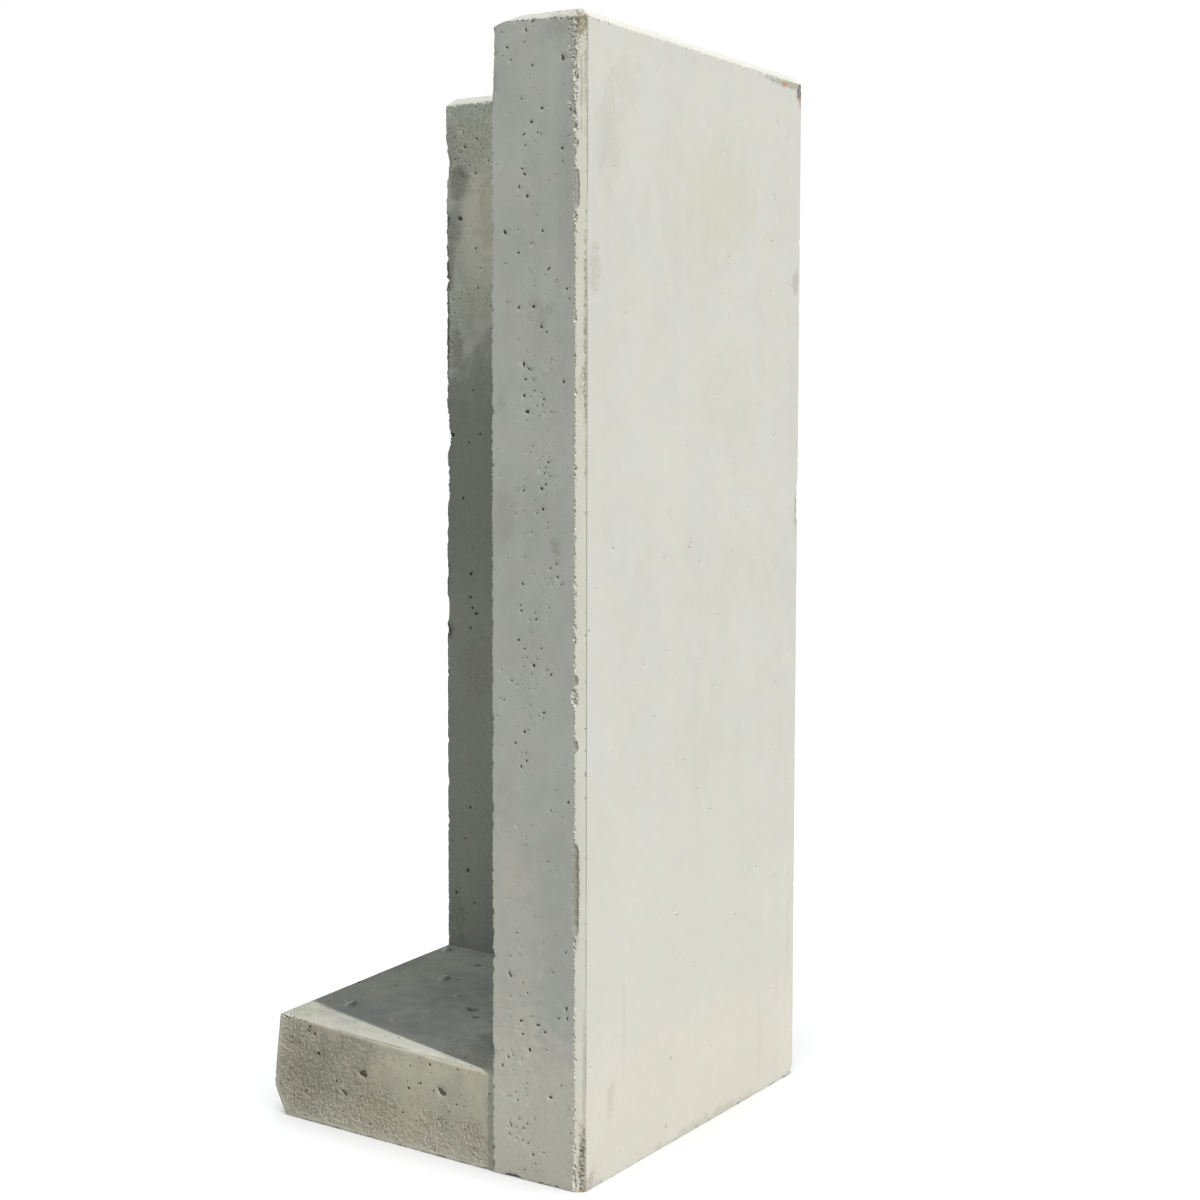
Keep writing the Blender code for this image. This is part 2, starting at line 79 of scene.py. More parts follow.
# Shape details that the boxes don't hold, as in the CAD
TOP_CHAMFER = 0.019
FREE_CHAMFER_FRONT = 0.0138
FREE_CHAMFER_SIDE = 0.0195
CORNER_CHAMFER = 0.019
CLIP_DEPTH = 0.038               # the free end's rear top corner, clipped off
CLIP_RISE = 0.0085
CLIP_REACH = 0.059
END_CHAMFER = 0.014
FOOT_TOP_AT_PANEL = 0.2226
FOOT_TOP_RISE = 0.0326
FOOT_SIDE_RISE = 0.0380
HEEL_TOP = 0.8805
HEEL_WIDEST = 0.9011
HEEL_BOTTOM = 0.8643
HEEL_WIDEST_HEIGHT = 0.0681
HEEL_SKEW = 0.0728
WELL_GAP = 0.0012                # between a socket plug's head and the concrete
WELL_DEPTH = 0.0045
# Painted shade in the gap round a socket plug's head
WELL_SHADE = 0.3

# The narrow groove beside the free front arris, its bottom darkened with painted shade
GROOVE_ROWS = ((0.0004, 0.0), (0.0014, 0.0018), (0.0032, 0.0018), (0.0044, 0.0))
GROOVE_SPACING = 0.005
GROOVE_MARGIN = 0.0008           # kept clear of fill points beside the groove
GROOVE_END = 0.004
GROOVE_DRIFT = 0.0002
GROOVE_SHADE = 0.7

# Pits: small ones are drawn with fewer sides; their insides get painted shade, less of it in wide
# ones, which light reaches into
SMALL_PIT = 0.003
SMALL_PIT_SIDES = 8
PIT_SIDES = 12
WELL_SIDES = 48
WIDE_PIT = 0.006
WIDE_PIT_SHADE = 0.7
UNSHADED_RIM = 0.3                  # share of a pit's depth above which its ring gets no painted shade
PIT_CLEARANCE = 1.6              # fill points keep this many reaches away

# Chips and worn arrises
SMALLEST_CHIP = 0.0006
CHIP_SIZES = (0.4, 0.5, 3.0)     # least, mean above it and most, as shares of a plan's size
CHIP_TILT = 1.2
CHIP_RAGGED = 0.25
CHOSEN_CHIP_RAGGED = 0.10
OLD_BREAK = 0.10                 # how fresh the stone in a chosen chip looks
SLAB_MARGIN = 0.03               # more than any point moves up or down
SHARPEST = 0.2                   # share of a rounding's radius left at its sharp end

ARRIS_STEP = 0.004               # between the points of an arris that isn't finer
NEAR_ROWS = (0.0018, 0.0045, 0.009)
NOISE_SHIFT = 1000.0             # keeps the noise's cell numbers positive
UPRIGHT = 0.8                    # faces whose normal's z is below this are read as walls
SHARP_ANGLE = math.radians(38)

# Material slots of the castings
FRONT, END, CHAMFER, INSIDE, FOOT_WALL, FOOT_TOP = range(6)


def at(along, back, up):
    return Vector((along, back, up)) + ORIGIN


# ------------------------------------------------------------------ noise

def lattice(seed, size=64):
    return np.random.RandomState(seed).rand(size, size)


def smooth(value):
    return value * value * (3 - 2 * value)


def noise(x, y, scale, seed):
    """Smooth value noise between -1 and 1; scale is the size of one cell."""
    table = lattice(seed)
    size = len(table)
    x = np.asarray(x) / scale + NOISE_SHIFT
    y = np.asarray(y) / scale + NOISE_SHIFT
    column = np.floor(x).astype(int)
    row = np.floor(y).astype(int)
    a = smooth(x - column)
    b = smooth(y - row)
    c0, c1, r0, r1 = column % size, (column + 1) % size, row % size, (row + 1) % size
    low = table[r0, c0] * (1 - a) + table[r0, c1] * a
    high = table[r1, c0] * (1 - a) + table[r1, c1] * a
    return (low * (1 - b) + high * b) * 2 - 1


def step_up(value, low, high):
    """0 below low, 1 above high, smooth between."""
    return smooth(np.clip((value - low) / (high - low), 0, 1))


# ---------------------------------------------------------- casting builder

class Pit:
    """An air bubble hole in a face, or a lump on it where the depth is negative."""

    rings = ((1.40, 0.0), (1.0, 0.15), (0.90, 0.60), (0.60, 0.95))
    wobble = 1.0

    def __init__(self, place, wide, tall, turn, depth, seed):
        self.place = np.array(place, float)
        self.wide = wide
        self.tall = tall
        self.turn = turn
        self.depth = depth
        self.seed = seed
        self.reach = max(wide, tall)
        self.sides = SMALL_PIT_SIDES if self.reach < SMALL_PIT else PIT_SIDES
        # Painted shade darkens the pit's inside; a mortar lump gets none
        self.dark = 1.0 if self.reach < WIDE_PIT else WIDE_PIT_SHADE
        if depth < 0:
            self.dark = 0.0


class Well(Pit):
    """The round well in a top that a socket plug lies in."""

    rings = ((1.10, 0.0), (1.0, 0.0), (0.985, 1.0), (0.6, 1.0))
    wobble = 0.0

    def __init__(self, plug):
        low, high = (Vector(corner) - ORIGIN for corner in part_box(plug))
        middle = (low + high) / 2
        radius = (high.x - low.x) / 2 + WELL_GAP
        super().__init__((middle.x, middle.y), radius, radius, 0, WELL_DEPTH, 1)
        self.dark = WELL_SHADE
        self.sides = WELL_SIDES


def side_frame(a, b):
    """Length, direction and inward normal of a side of a counter-clockwise outline."""
    length = np.linalg.norm(b - a)
    along = (b - a) / length
    return length, along, np.array((-along[1], along[0]))


def line_distance(points, a, b):
    """Distance of each 2-D point to the stretch from a to b."""
    side = b - a
    share = np.clip(((points - a) @ side) / (side @ side), 0, 1)
    return np.linalg.norm(points - a - share[:, None] * side, axis=1)


class Face:
    """A flat side of a casting.

    loop: corner names in order.  step: spacing of the fill points.  relief:
    function (2-D points, distance to the nearest side) -> depth below the face.
    pits: function (face) -> list of Pit.  finish: material slot number.  rows:
    offsets of the point rows along every side.  bands: (side's two corners,
    width, step) of denser strips.  groove: the two corners of the side that the
    groove runs beside.  cavity: how much painted shade darkens the relief's hollows.
    """

    def __init__(self, loop, step, finish, relief=None, pits=None, rows=(), bands=(),
                 groove=None, cavity_shade=0.0):
        self.loop = loop.split()
        self.step = step
        self.finish = finish
        self.relief = relief
        self.pits = pits
        self.rows = rows
        self.bands = bands
        self.groove = groove
        self.cavity_shade = cavity_shade

    def lay_out(self, corners, middle):
        points = [corners[name] for name in self.loop]
        normal = Vector((0, 0, 0))
        for a, b in zip(points, points[1:] + points[:1]):
            normal += (a - ORIGIN).cross(b - ORIGIN)
        normal.normalize()
        centre = sum(points, Vector((0, 0, 0))) / len(points)
        if normal.dot(centre - middle) < 0:
            normal = -normal
            self.loop.reverse()
            points.reverse()
        self.sides = [self.corner_pair(i) for i in range(len(self.loop))]
        self.normal = normal
        if abs(normal.z) < UPRIGHT:
            self.across = Vector((0, 0, 1)).cross(normal).normalized()
        else:
            self.across = (Vector((1, 0, 0)) - normal * normal.x).normalized()
        self.upward = normal.cross(self.across).normalized()
        self.outline = self.flatten(points)

    def corner_pair(self, i):
        return tuple(sorted((self.loop[i], self.loop[(i + 1) % len(self.loop)])))

    def side(self, first, last):
        """The two ends of a side in the face's frame, in loop order."""
        i = self.sides.index(tuple(sorted((first, last))))
        return self.outline[i], self.outline[(i + 1) % len(self.outline)]

    def flatten(self, points):
        """World points to the face's own 2-D frame."""
        out = []
        for point in points:
            offset = Vector(point) - ORIGIN
            out.append((offset.dot(self.across), offset.dot(self.upward)))
        return np.array(out)

    def raise_up(self, flat, level):
        """2-D points of the face to world points, level being the plane's height."""
        return (np.array(ORIGIN)[None, :] + flat[:, :1] * np.array(self.across)
                + flat[:, 1:] * np.array(self.upward) + level * np.array(self.normal))

    def inside(self, points):
        """Even-odd test, for outlines that aren't convex."""
        hit = np.zeros(len(points), bool)
        for a, b in zip(self.outline, np.roll(self.outline, -1, axis=0)):
            crosses = (a[1] > points[:, 1]) != (b[1] > points[:, 1])
            rise = np.where(crosses, b[1] - a[1], 1.0)
            x = a[0] + (points[:, 1] - a[1]) * (b[0] - a[0]) / rise
            hit ^= crosses & (points[:, 0] < x)
        return hit

    def rim_distance(self, points):
        best = np.full(len(points), np.inf)
        for a, b in zip(self.outline, np.roll(self.outline, -1, axis=0)):
            best = np.minimum(best, line_distance(points, a, b))
        return best

    def fill(self, seed):
        """Fill points: a jittered grid, the denser strips, and rows beside the sides."""
        chance = np.random.RandomState(seed)
        grid = self.grid(chance)
        strips = [self.strip(*band, chance) for band in self.bands]
        groups = [self.clear_of_bands(grid, 0.4 * self.step)] + strips
        for offset in self.rows:
            for a, b in zip(self.outline, np.roll(self.outline, -1, axis=0)):
                row = self.row(a, b, offset, max(ARRIS_STEP, 0.8 * offset), chance)
                groups.append(self.clear_of_bands(row, 0.0))
        return np.concatenate(groups)

    def grid(self, chance):
        low = self.outline.min(axis=0)
        high = self.outline.max(axis=0)
        lines = []
        for start, end in zip(low, high):
            count = max(2, int(math.ceil((end - start) / self.step)))
            lines.append(np.linspace(start, end, count + 1))
        grid = np.stack(np.meshgrid(*lines), -1).reshape(-1, 2)
        grid = grid + (chance.rand(*grid.shape) - 0.5) * self.step * 0.5
        margin = max(self.rows, default=0) + 0.45 * self.step
        grid = grid[self.inside(grid)]
        return grid[self.rim_distance(grid) > margin]

    def row(self, a, b, offset, spacing, chance):
        """Points about an offset inside the side from a to b, a spacing apart."""
        length, _, inward = side_frame(a, b)
        count = int(length / spacing)
        if count < 2:
            return np.zeros((0, 2))
        share = (np.arange(count) + 0.5 + (chance.rand(count) - 0.5) * 0.5) / count
        wobble = offset * (1 + (chance.rand(count) - 0.5) * 0.3)
        row = a + share[:, None] * (b - a) + wobble[:, None] * inward
        row = row[self.inside(row)]
        return row[self.rim_distance(row) > offset * 0.8]

    def strip(self, first, last, width, step, chance):
        """Dense points beside one side."""
        a, b = self.side(first, last)
        length, along, inward = side_frame(a, b)
        share = np.arange(0.5 * step, length, step)
        deep = np.arange(0.6 * step, width, step)
        grid = np.stack(np.meshgrid(share, deep), -1).reshape(-1, 2)
        grid += (chance.rand(*grid.shape) - 0.5) * step * 0.55
        points = a + grid[:, :1] * along + grid[:, 1:] * inward
        points = points[self.inside(points)]
        return points[self.rim_distance(points) > 0.35 * step]

    def clear_of_bands(self, points, gap):
        for first, last, width, _ in self.bands:
            a, b = self.side(first, last)
            points = points[line_distance(points, a, b) > width + gap]
        return points

    def groove_lines(self):
        """Rows of a narrow V beside one side: points, depths and the edges that join them."""
        a, b = self.side(*self.groove)
        length, along, inward = side_frame(a, b)
        share = np.linspace(GROOVE_END, length - GROOVE_END, int(length / GROOVE_SPACING))
        points, depths, edges = [], [], []
        for offset, depth in GROOVE_ROWS:
            start = len(points)
            drift = noise(share, share * 0 + offset, 0.15, 31) * GROOVE_DRIFT
            points.extend(a + share[:, None] * along + (offset + drift)[:, None] * inward)
            fading = step_up(noise(share, share * 0, 0.11, 32), -0.6, 0.1)
            depths.extend(depth * (0.5 + 0.5 * fading))
            edges.extend((i, i + 1) for i in range(start, start + len(share) - 1))
        return np.array(points), np.array(depths), edges


def pit_points(pit):
    """Rings of a pit as 2-D points, with the depth and painted shade of each."""
    turn = np.array(((math.cos(pit.turn), -math.sin(pit.turn)),
                     (math.sin(pit.turn), math.cos(pit.turn))))
    chance = np.random.RandomState(pit.seed)
    phase = chance.rand(3) * 2 * math.pi
    places, depths, darks = [], [], []
    for scale, share in pit.rings:
        for k in range(pit.sides):
            angle = 2 * math.pi * (k + chance.rand() * 0.4 * pit.wobble) / pit.sides
            wobble = 1 + pit.wobble * (0.14 * math.sin(2 * angle + phase[0])
                                       + 0.10 * math.sin(3 * angle + phase[1]))
            spot = np.array((pit.wide * math.cos(angle), pit.tall * math.sin(angle)))
            places.append(pit.place + turn @ (spot * wobble * scale))
            depths.append(share * pit.depth)
            darks.append(pit.dark if share > UNSHADED_RIM else 0.0)
    places.append(pit.place)
    depths.append(pit.depth)
    darks.append(pit.dark)
    return np.array(places), np.array(depths), np.array(darks)


class Bite:
    """A chip broken off an arris: a trough whose axes run along, outward and across.

    Points above the trough's skin are pushed straight inward onto it.  square: 2
    for an egg, more for a long trough with blunt ends.  fresh: 1 for new stone,
    0 for an old break.  dark: how much painted shade, with some dirt, darkens it.
    """

    def __init__(self, centre, radii, axes, rough, square, fresh, dark):
        self.centre = np.array(centre, float)
        self.radii = np.array(radii, float)
        self.axes = np.array(axes, float)
        self.rough = rough
        self.square = square
        self.fresh = fresh
        self.dark = dark
        self.reach = self.radii.max() * (1 + rough)

    def cut(self, points):
        offset = (points - self.centre) @ self.axes.T / self.radii
        room = np.clip(1 - np.abs(offset[:, 0]) ** self.square, 0, 1) ** 0.5
        grain = (noise(points[:, 0] * 3 + points[:, 1], points[:, 2], 0.0045, 7)
                 + 0.5 * noise(points[:, 0] - points[:, 1] * 2, points[:, 2], 0.0020, 9))
        limit = room * (1 + self.rough * grain)
        skin = -np.sqrt(np.clip(limit ** 2 - offset[:, 2] ** 2, 0, None))
        held = (np.abs(offset[:, 2]) < limit) & (offset[:, 1] > skin)
        offset[held, 1] = skin[held]
        moved = points.copy()
        moved[held] = self.centre + (offset[held] * self.radii) @ self.axes
        return moved, held


class Rounding:
    """An arris worn or trowelled round, with a radius that wanders along it.

    sharp: how far from the first corner the radius is still growing to its full size.
    """

    def __init__(self, first, last, radius, wander, sharp):
        self.first = first
        self.last = last
        self.radius = radius
        self.wander = wander
        self.sharp = sharp

    def cut(self, points, casting):
        """Roll the points near the arris onto a cylinder."""
        one, other = casting.arris_faces[tuple(sorted((self.first, self.last)))]
        a = np.array(casting.corners[self.first])
        along = np.array((casting.corners[self.last] - casting.corners[self.first]).normalized())
        run = (points - a) @ along
        radius = self.radius * (1 + self.wander * noise(run, run * 0, 0.06, 41))
        radius *= SHARPEST + (1 - SHARPEST) * step_up(run, 0, self.sharp)
        from_one = -(points - a) @ np.array(one.normal)
        from_other = -(points - a) @ np.array(other.normal)
        offset = np.stack((radius - from_one, radius - from_other), 1)
        size = np.maximum(np.linalg.norm(offset, axis=1), 1e-9)
        held = (from_one < radius) & (from_other < radius) & (size > radius)
        fit = 1 - radius / size
        push = offset[:, :1] * np.array(one.normal) + offset[:, 1:] * np.array(other.normal)
        points[held] -= push[held] * fit[held, None]
        return points


class Casting:
    """Builds one mesh from corners and flat faces that share arrises."""

    def __init__(self, name, corners, faces, seed, fine_arrises, fine_step):
        self.name = name
        self.corners = corners
        self.faces = faces
        self.seed = seed
        self.fine_arrises = [tuple(sorted(pair)) for pair in fine_arrises]
        self.fine_step = fine_step
        middle = sum(corners.values(), Vector((0, 0, 0))) / len(corners)
        for face in faces:
            face.lay_out(corners, middle)
        self.points = []
        self.hollow_shade = []
        self.triangles = []
        self.finishes = []
        self.arris_points = {}
        self.arris_faces = {}

    def add_points(self, points, hollow_shade=None):
        start = sum(len(block) for block in self.points)
        self.points.append(np.array(points, float).reshape(-1, 3))
        self.hollow_shade.append(np.zeros(len(points)) if hollow_shade is None else np.array(hollow_shade))
        return list(range(start, start + len(points)))

    def arris(self, first, last):
        """Indices of the points from one corner to another, made once."""
        key = (min(first, last), max(first, last))
        if key not in self.arris_points:
            a, b = self.corners[key[0]], self.corners[key[1]]
            step = self.fine_step if key in self.fine_arrises else ARRIS_STEP
            count = max(1, int(round((b - a).length / step)))
            share = np.arange(1, count) / count
            row = np.array(a) + share[:, None] * (np.array(b) - np.array(a))
            self.arris_points[key] = self.add_points(row)
        run = self.arris_points[key]
        return run if key == (first, last) else run[::-1]

    def build(self, roundings, rims, bites):
        names = sorted(self.corners)
        corner_index = dict(zip(names, self.add_points([self.corners[n] for n in names])))
        for face in self.faces:
            for pair in face.sides:
                self.arris_faces.setdefault(pair, []).append(face)
        for number, face in enumerate(self.faces):
            self.build_face(face, corner_index, number)
        points = np.concatenate(self.points)
        for rounding in roundings:
            points = rounding.cut(points, self)
        broken = np.zeros(len(points))
        hollow_shade = np.concatenate(self.hollow_shade)
        order = np.argsort(points[:, 2])
        heights = points[order, 2]
        for bite in self.ragged_rims(rims) + [self.chip(*plan) for plan in bites]:
            middle, span = bite.centre[2], bite.reach + SLAB_MARGIN
            low, high = np.searchsorted(heights, (middle - span, middle + span))
            near = order[low:high]
            near = near[(np.abs(points[near] - bite.centre) < bite.reach).all(axis=1)]
            if len(near):
                moved, held = bite.cut(points[near])
                points[near] = moved
                broken[near[held]] = bite.fresh
                hollow_shade[near[held]] = np.maximum(hollow_shade[near[held]], bite.dark)
        return self.to_object(points, hollow_shade, broken)

    def build_face(self, face, corner_index, number):
        ring = []
        for a, b in zip(face.loop, face.loop[1:] + face.loop[:1]):
            ring.append(corner_index[a])
            ring.extend(self.arris(a, b))
        offset = np.concatenate(self.points)[ring] - np.array(ORIGIN)
        flat_ring = np.stack((offset @ np.array(face.across), offset @ np.array(face.upward)), 1)
        level = float((offset @ np.array(face.normal)).mean())

        flat = face.fill(self.seed * 100 + number)
        flat, depth, dark = self.sink_pits(face, flat)
        edges = []
        if face.groove:
            flat, depth, dark, edges = self.cut_groove(face, flat, depth, dark)
        if face.relief is not None and len(flat):
            relief = face.relief(flat, face.rim_distance(flat))
            depth = depth + relief
            # Painted shade in the relief's hollows
            dark = np.maximum(dark, face.cavity_shade * step_up(relief, 0.0010, 0.0024))
        placed = face.raise_up(flat, level) - depth[:, None] * np.array(face.normal)
        index = ring + self.add_points(placed, dark)

        count = len(ring)
        edges = ([(i, (i + 1) % count) for i in range(count)]
                 + [(i + count, j + count) for i, j in edges])
        self.triangulate(np.concatenate((flat_ring, flat)), edges, index, face.finish)

    def sink_pits(self, face, flat):
        """The fill points and the rings of the face's pits: places, depths, painted shade."""
        pits = face.pits(face) if face.pits else []
        keep = np.ones(len(flat), bool)
        for pit in pits:
            keep &= np.linalg.norm(flat - pit.place, axis=1) > pit.reach * PIT_CLEARANCE
        rings = [pit_points(pit) for pit in pits]
        level = np.zeros(keep.sum())
        return (np.concatenate([flat[keep]] + [ring[0] for ring in rings]),
                np.concatenate([level] + [ring[1] for ring in rings]),
                np.concatenate([level] + [ring[2] for ring in rings]))

    def cut_groove(self, face, flat, depth, dark):
        """Put the groove's rows before the fill points, and clear the fill out of it."""
        lines, cut, edges = face.groove_lines()
        reach = max(offset for offset, _ in GROOVE_ROWS) + GROOVE_MARGIN
        keep = line_distance(flat, *face.side(*face.groove)) > reach
        # Painted shade, darkest along the groove's bottom
        shade = cut / cut.max() * GROOVE_SHADE
        return (np.concatenate((lines, flat[keep])), np.concatenate((cut, depth[keep])),
                np.concatenate((shade, dark[keep])), edges)

    def triangulate(self, flat, edges, index, finish):
        """Join the points of a face.  index: each point's number in the casting."""
        solved = delaunay_2d_cdt([Vector(p) for p in flat], edges, [], 1, 1e-7, True)
        where = []
        for sources in solved[3]:
            if not sources:
                raise RuntimeError(self.name + ": the sides of a face cross")
            where.append(index[sources[0]])
        for triangle in solved[2]:
            corners = [where[i] for i in triangle]
            if len(set(corners)) == 3:
                self.triangles.append(corners)
                self.finishes.append(finish)

    def arris_frame(self, first, last):
        """Start, direction, outward diagonal and cross direction of an arris."""
        one, other = self.arris_faces[(min(first, last), max(first, last))]
        a, b = self.corners[first], self.corners[last]
        along = (b - a).normalized()
        outward = (one.normal + other.normal).normalized()
        return a, (b - a).length, along, outward, along.cross(outward)

    def ragged_rims(self, plans):
        """Small bites along arrises.

        A plan is (first, last, spacing, size, stretch) and may go on with a strength, which
        scales the size by the place, and a spread, how far bites stray onto the first face.
        """
        least, mean, most = CHIP_SIZES
        bites = []
        for number, (first, last, spacing, size, stretch, *more) in enumerate(plans):
            strength = more[0] if more else None
            spread = more[1] if len(more) > 1 else 0.0
            start, length, along, outward, cross = self.arris_frame(first, last)
            inward = along.cross(self.arris_faces[tuple(sorted((first, last)))][0].normal)
            if inward.dot(outward) > 0:
                inward = -inward
            chance = np.random.RandomState(self.seed * 1000 + number)
            place = chance.rand() * spacing
            while place < length:
                local = strength(place) if strength else 1.0
                radius = min(size * (least + chance.exponential(mean)), size * most) * local
                long = radius * (0.8 + chance.rand() * stretch)
                tilt = (chance.rand() - 0.5) * CHIP_TILT
                out = outward * math.cos(tilt) + cross * math.sin(tilt)
                centre = start + along * place + out * radius * (0.15 + 0.5 * chance.rand())
                centre += inward * spread * chance.rand() ** 1.5
                if radius > SMALLEST_CHIP:
                    bites.append(Bite(centre, (long, radius, radius), (along, outward, cross),
                                      CHIP_RAGGED, 2, 1.0, 0.0))
                place += spacing * (0.3 + 1.4 * chance.rand())
        return bites

    def chip(self, first, last, place, out, across, radii, square, dark):
        """A chosen bite: place along the arris, and how far out and across its centre lies."""
        start, _, along, outward, cross = self.arris_frame(first, last)
        centre = start + along * place + outward * out + cross * across
        return Bite(centre, radii, (along, outward, cross), CHOSEN_CHIP_RAGGED, square,
                    OLD_BREAK, dark)

    def to_object(self, points, hollow_shade, broken):
        mesh = bpy.data.meshes.new(self.name)
        mesh.from_pydata([tuple(p) for p in points], [], self.triangles)
        mesh.polygons.foreach_set("material_index", self.finishes)
        # The hollow attribute carries the painted shade of pits, the groove, chips and relief
        # hollows.
        for name, values in (("hollow_shade", hollow_shade), ("broken", broken)):
            layer = mesh.attributes.new(name, 'FLOAT', 'POINT')
            layer.data.foreach_set("value", values.astype(np.float32))
        mesh.validate()
        mesh.update()
        mesh.shade_smooth()
        mesh.set_sharp_from_angle(angle=SHARP_ANGLE)
        made = bpy.data.objects.new(self.name, mesh)
        bpy.context.scene.collection.objects.link(made)
        return made


def inset(outline, amount):
    """Move each side of a counter-clockwise outline inward by the same amount."""
    moved = []
    count = len(outline)
    for i, corner in enumerate(outline):
        before = (corner - outline[i - 1]).normalized()
        after = (outline[(i + 1) % count] - corner).normalized()
        first = Vector((-before.y, before.x))
        second = Vector((-after.y, after.x))
        moved.append(corner + (first + second) * (amount / (1 + first.dot(second))))
    return moved


# ------------------------------------------------------------ pits and relief

def scattered_pits(count, smallest, largest, seed, weight=None, margin=0.006):
    """Pits thrown over a face, mostly small, thinned where weight is low."""
    def make(face):
        chance = np.random.RandomState(seed)
        low = face.outline.min(axis=0)
        high = face.outline.max(axis=0)
        pits = []
        tries = 0
        while len(pits) < count and tries < count * 40:
            tries += 1
            place = low + chance.rand(2) * (high - low)
            size = smallest + (largest - smallest) * chance.rand() ** 3.5
            flatness = 0.35 + 0.65 * chance.rand()
            turn = chance.rand() * math.pi
            luck = chance.rand()
            spot = place[None, :]
            if not face.inside(spot)[0] or face.rim_distance(spot)[0] < size * 1.4 + margin:
                continue
            if weight is not None and luck > weight(place[0], place[1]):
                continue
            if any(np.linalg.norm(place - p.place) < (size + p.reach) * 1.35 for p in pits):
                continue
            depth = size * flatness * (0.6 + 0.8 * chance.rand())
            pits.append(Pit(place, size, size * flatness, turn, depth, tries))
        return pits
    return make


def placed_pits(spots, others):
    """Pits at chosen places (across, up, half width, half height, turn, depth), plus others."""
    chosen = [Pit(spot[:2], *spot[2:], number) for number, spot in enumerate(spots)]
    return joined_pits(chosen, others)


def joined_pits(chosen, others):
    """The chosen pits, and those of the others that keep clear of them."""
    def make(face):
        pits = list(chosen)
        for pit in others(face):
            if all(np.linalg.norm(pit.place - p.place) > (pit.reach + p.reach) * 1.4
                   for p in chosen):
                pits.append(pit)
        return pits
    return make


def gentle(amount, cell, seed):
    """Slow waves of a steel or timber form, fading to nothing at the arrises."""
    def relief(flat, gap):
        wave = noise(flat[:, 0], flat[:, 1], cell, seed) * 0.5 + 0.5
        ripple = noise(flat[:, 0], flat[:, 1], cell * 0.23, seed + 1) * 0.15 + 0.15
        return (wave + ripple) * amount * step_up(gap, 0, 0.05)
    return relief


# ------------------------------------------------------------- the castings

def hill(value, middle, reach):
    """1 at the middle, falling to 0 at the reach."""
    return max(0.0, 1 - abs(value - middle) / reach)


def end_pit_chance(across, up):
    """Bubbles gather in a column that wanders up the free end, with gaps."""
    column = 0.135 + 0.030 * math.sin(up * 2.6 + 0.6)
    patchy = 0.55 + 0.6 * float(noise(across, up, 0.14, 61))
    sparse = 1 - 0.8 * float(step_up(up, 2.14, 2.24))
    return (0.10 + 0.9 * hill(-across, column, 0.055)) * max(patchy, 0.08) * sparse


def front_pit_chance(across, up):
    """The few pin holes of the front face lie mostly in one column, high up."""
    return 0.15 + 0.85 * hill(across, 0.64, 0.10) * hill(up, 1.70, 0.75)


def strip_relief(flat, gap):
    """The chamfer strip is sound, but for a washed-out patch just above the ground."""
    up = flat[:, 1]
    patch = step_up(-up + 0.02 * noise(flat[:, 0], up, 0.02, 62), -0.135, -0.105)
    patch = patch * step_up(flat[:, 0] - FREE_CHAMFER_FRONT, -0.022, -0.017)
    lumps = np.maximum(noise(flat[:, 0] * 1.2, up, 0.0028, 63) + 0.15, 0)
    return patch * lumps * 0.0032 * step_up(gap, 0.0005, 0.003)


def inner_pit_chance(across, up):
    """The return panel's inside is open and bubbly near its top, dense lower down."""
    top = 1.0 if up > 2.26 else 0.0
    patch = hill(up, 1.97, 0.06) * 0.9
    return max(top, patch, 0.05)


def foot_sand(flat, gap):
    """Washed-out sand on the foot's free side, strongest low and toward the heel."""
    depth, up = -flat[:, 0], flat[:, 1]
    ridge = 1 - np.abs(noise(depth, up, 0.0050, 51)) * 1.8
    fine = noise(depth, up, 0.0028, 52)
    patch = noise(depth, up, 0.07, 53) * 0.35
    where = (depth - 0.55) * 1.6 + (0.14 - up) * 4.0 + patch
    rough = step_up(where, -0.35, 0.35) * step_up(gap, 0.0, 0.012)
    wave = noise(depth, up, 0.12, 54) * 0.0005 + 0.0005
    sand = (0.0011 * (ridge + 0.7 * fine) + 0.0006) * (0.15 + 0.85 * rough)
    return wave * step_up(gap, 0, 0.03) + np.maximum(sand, 0) * step_up(gap, 0, 0.008)


def trowelled(flat, gap):
    """The foot's open top, floated by hand: long low ripples and a few hollows."""
    along, back = flat[:, 0], flat[:, 1]
    turned = along * 0.55 - back * 0.83
    crossing = along * 0.83 + back * 0.55
    ripple = noise(turned * 3.5, crossing, 0.05, 55) * 0.5 + 0.5
    broad = noise(along, back, 0.16, 56) * 0.5 + 0.5
    return (ripple * 0.0011 + broad * 0.0012) * step_up(gap, 0.015, 0.06)


def inner_relief(flat, gap):
    up = flat[:, 1]
    rough = step_up(up + 0.05 * noise(flat[:, 0], up, 0.05, 57), 2.22, 2.32) * 0.8 + 0.2
    lumps = noise(flat[:, 0], up, 0.022, 58) * 0.5 + 0.5
    broad = noise(flat[:, 0], up, 0.20, 59) * 0.5 + 0.5
    return (lumps * 0.0012 * rough + broad * 0.0007) * step_up(gap, 0, 0.02)


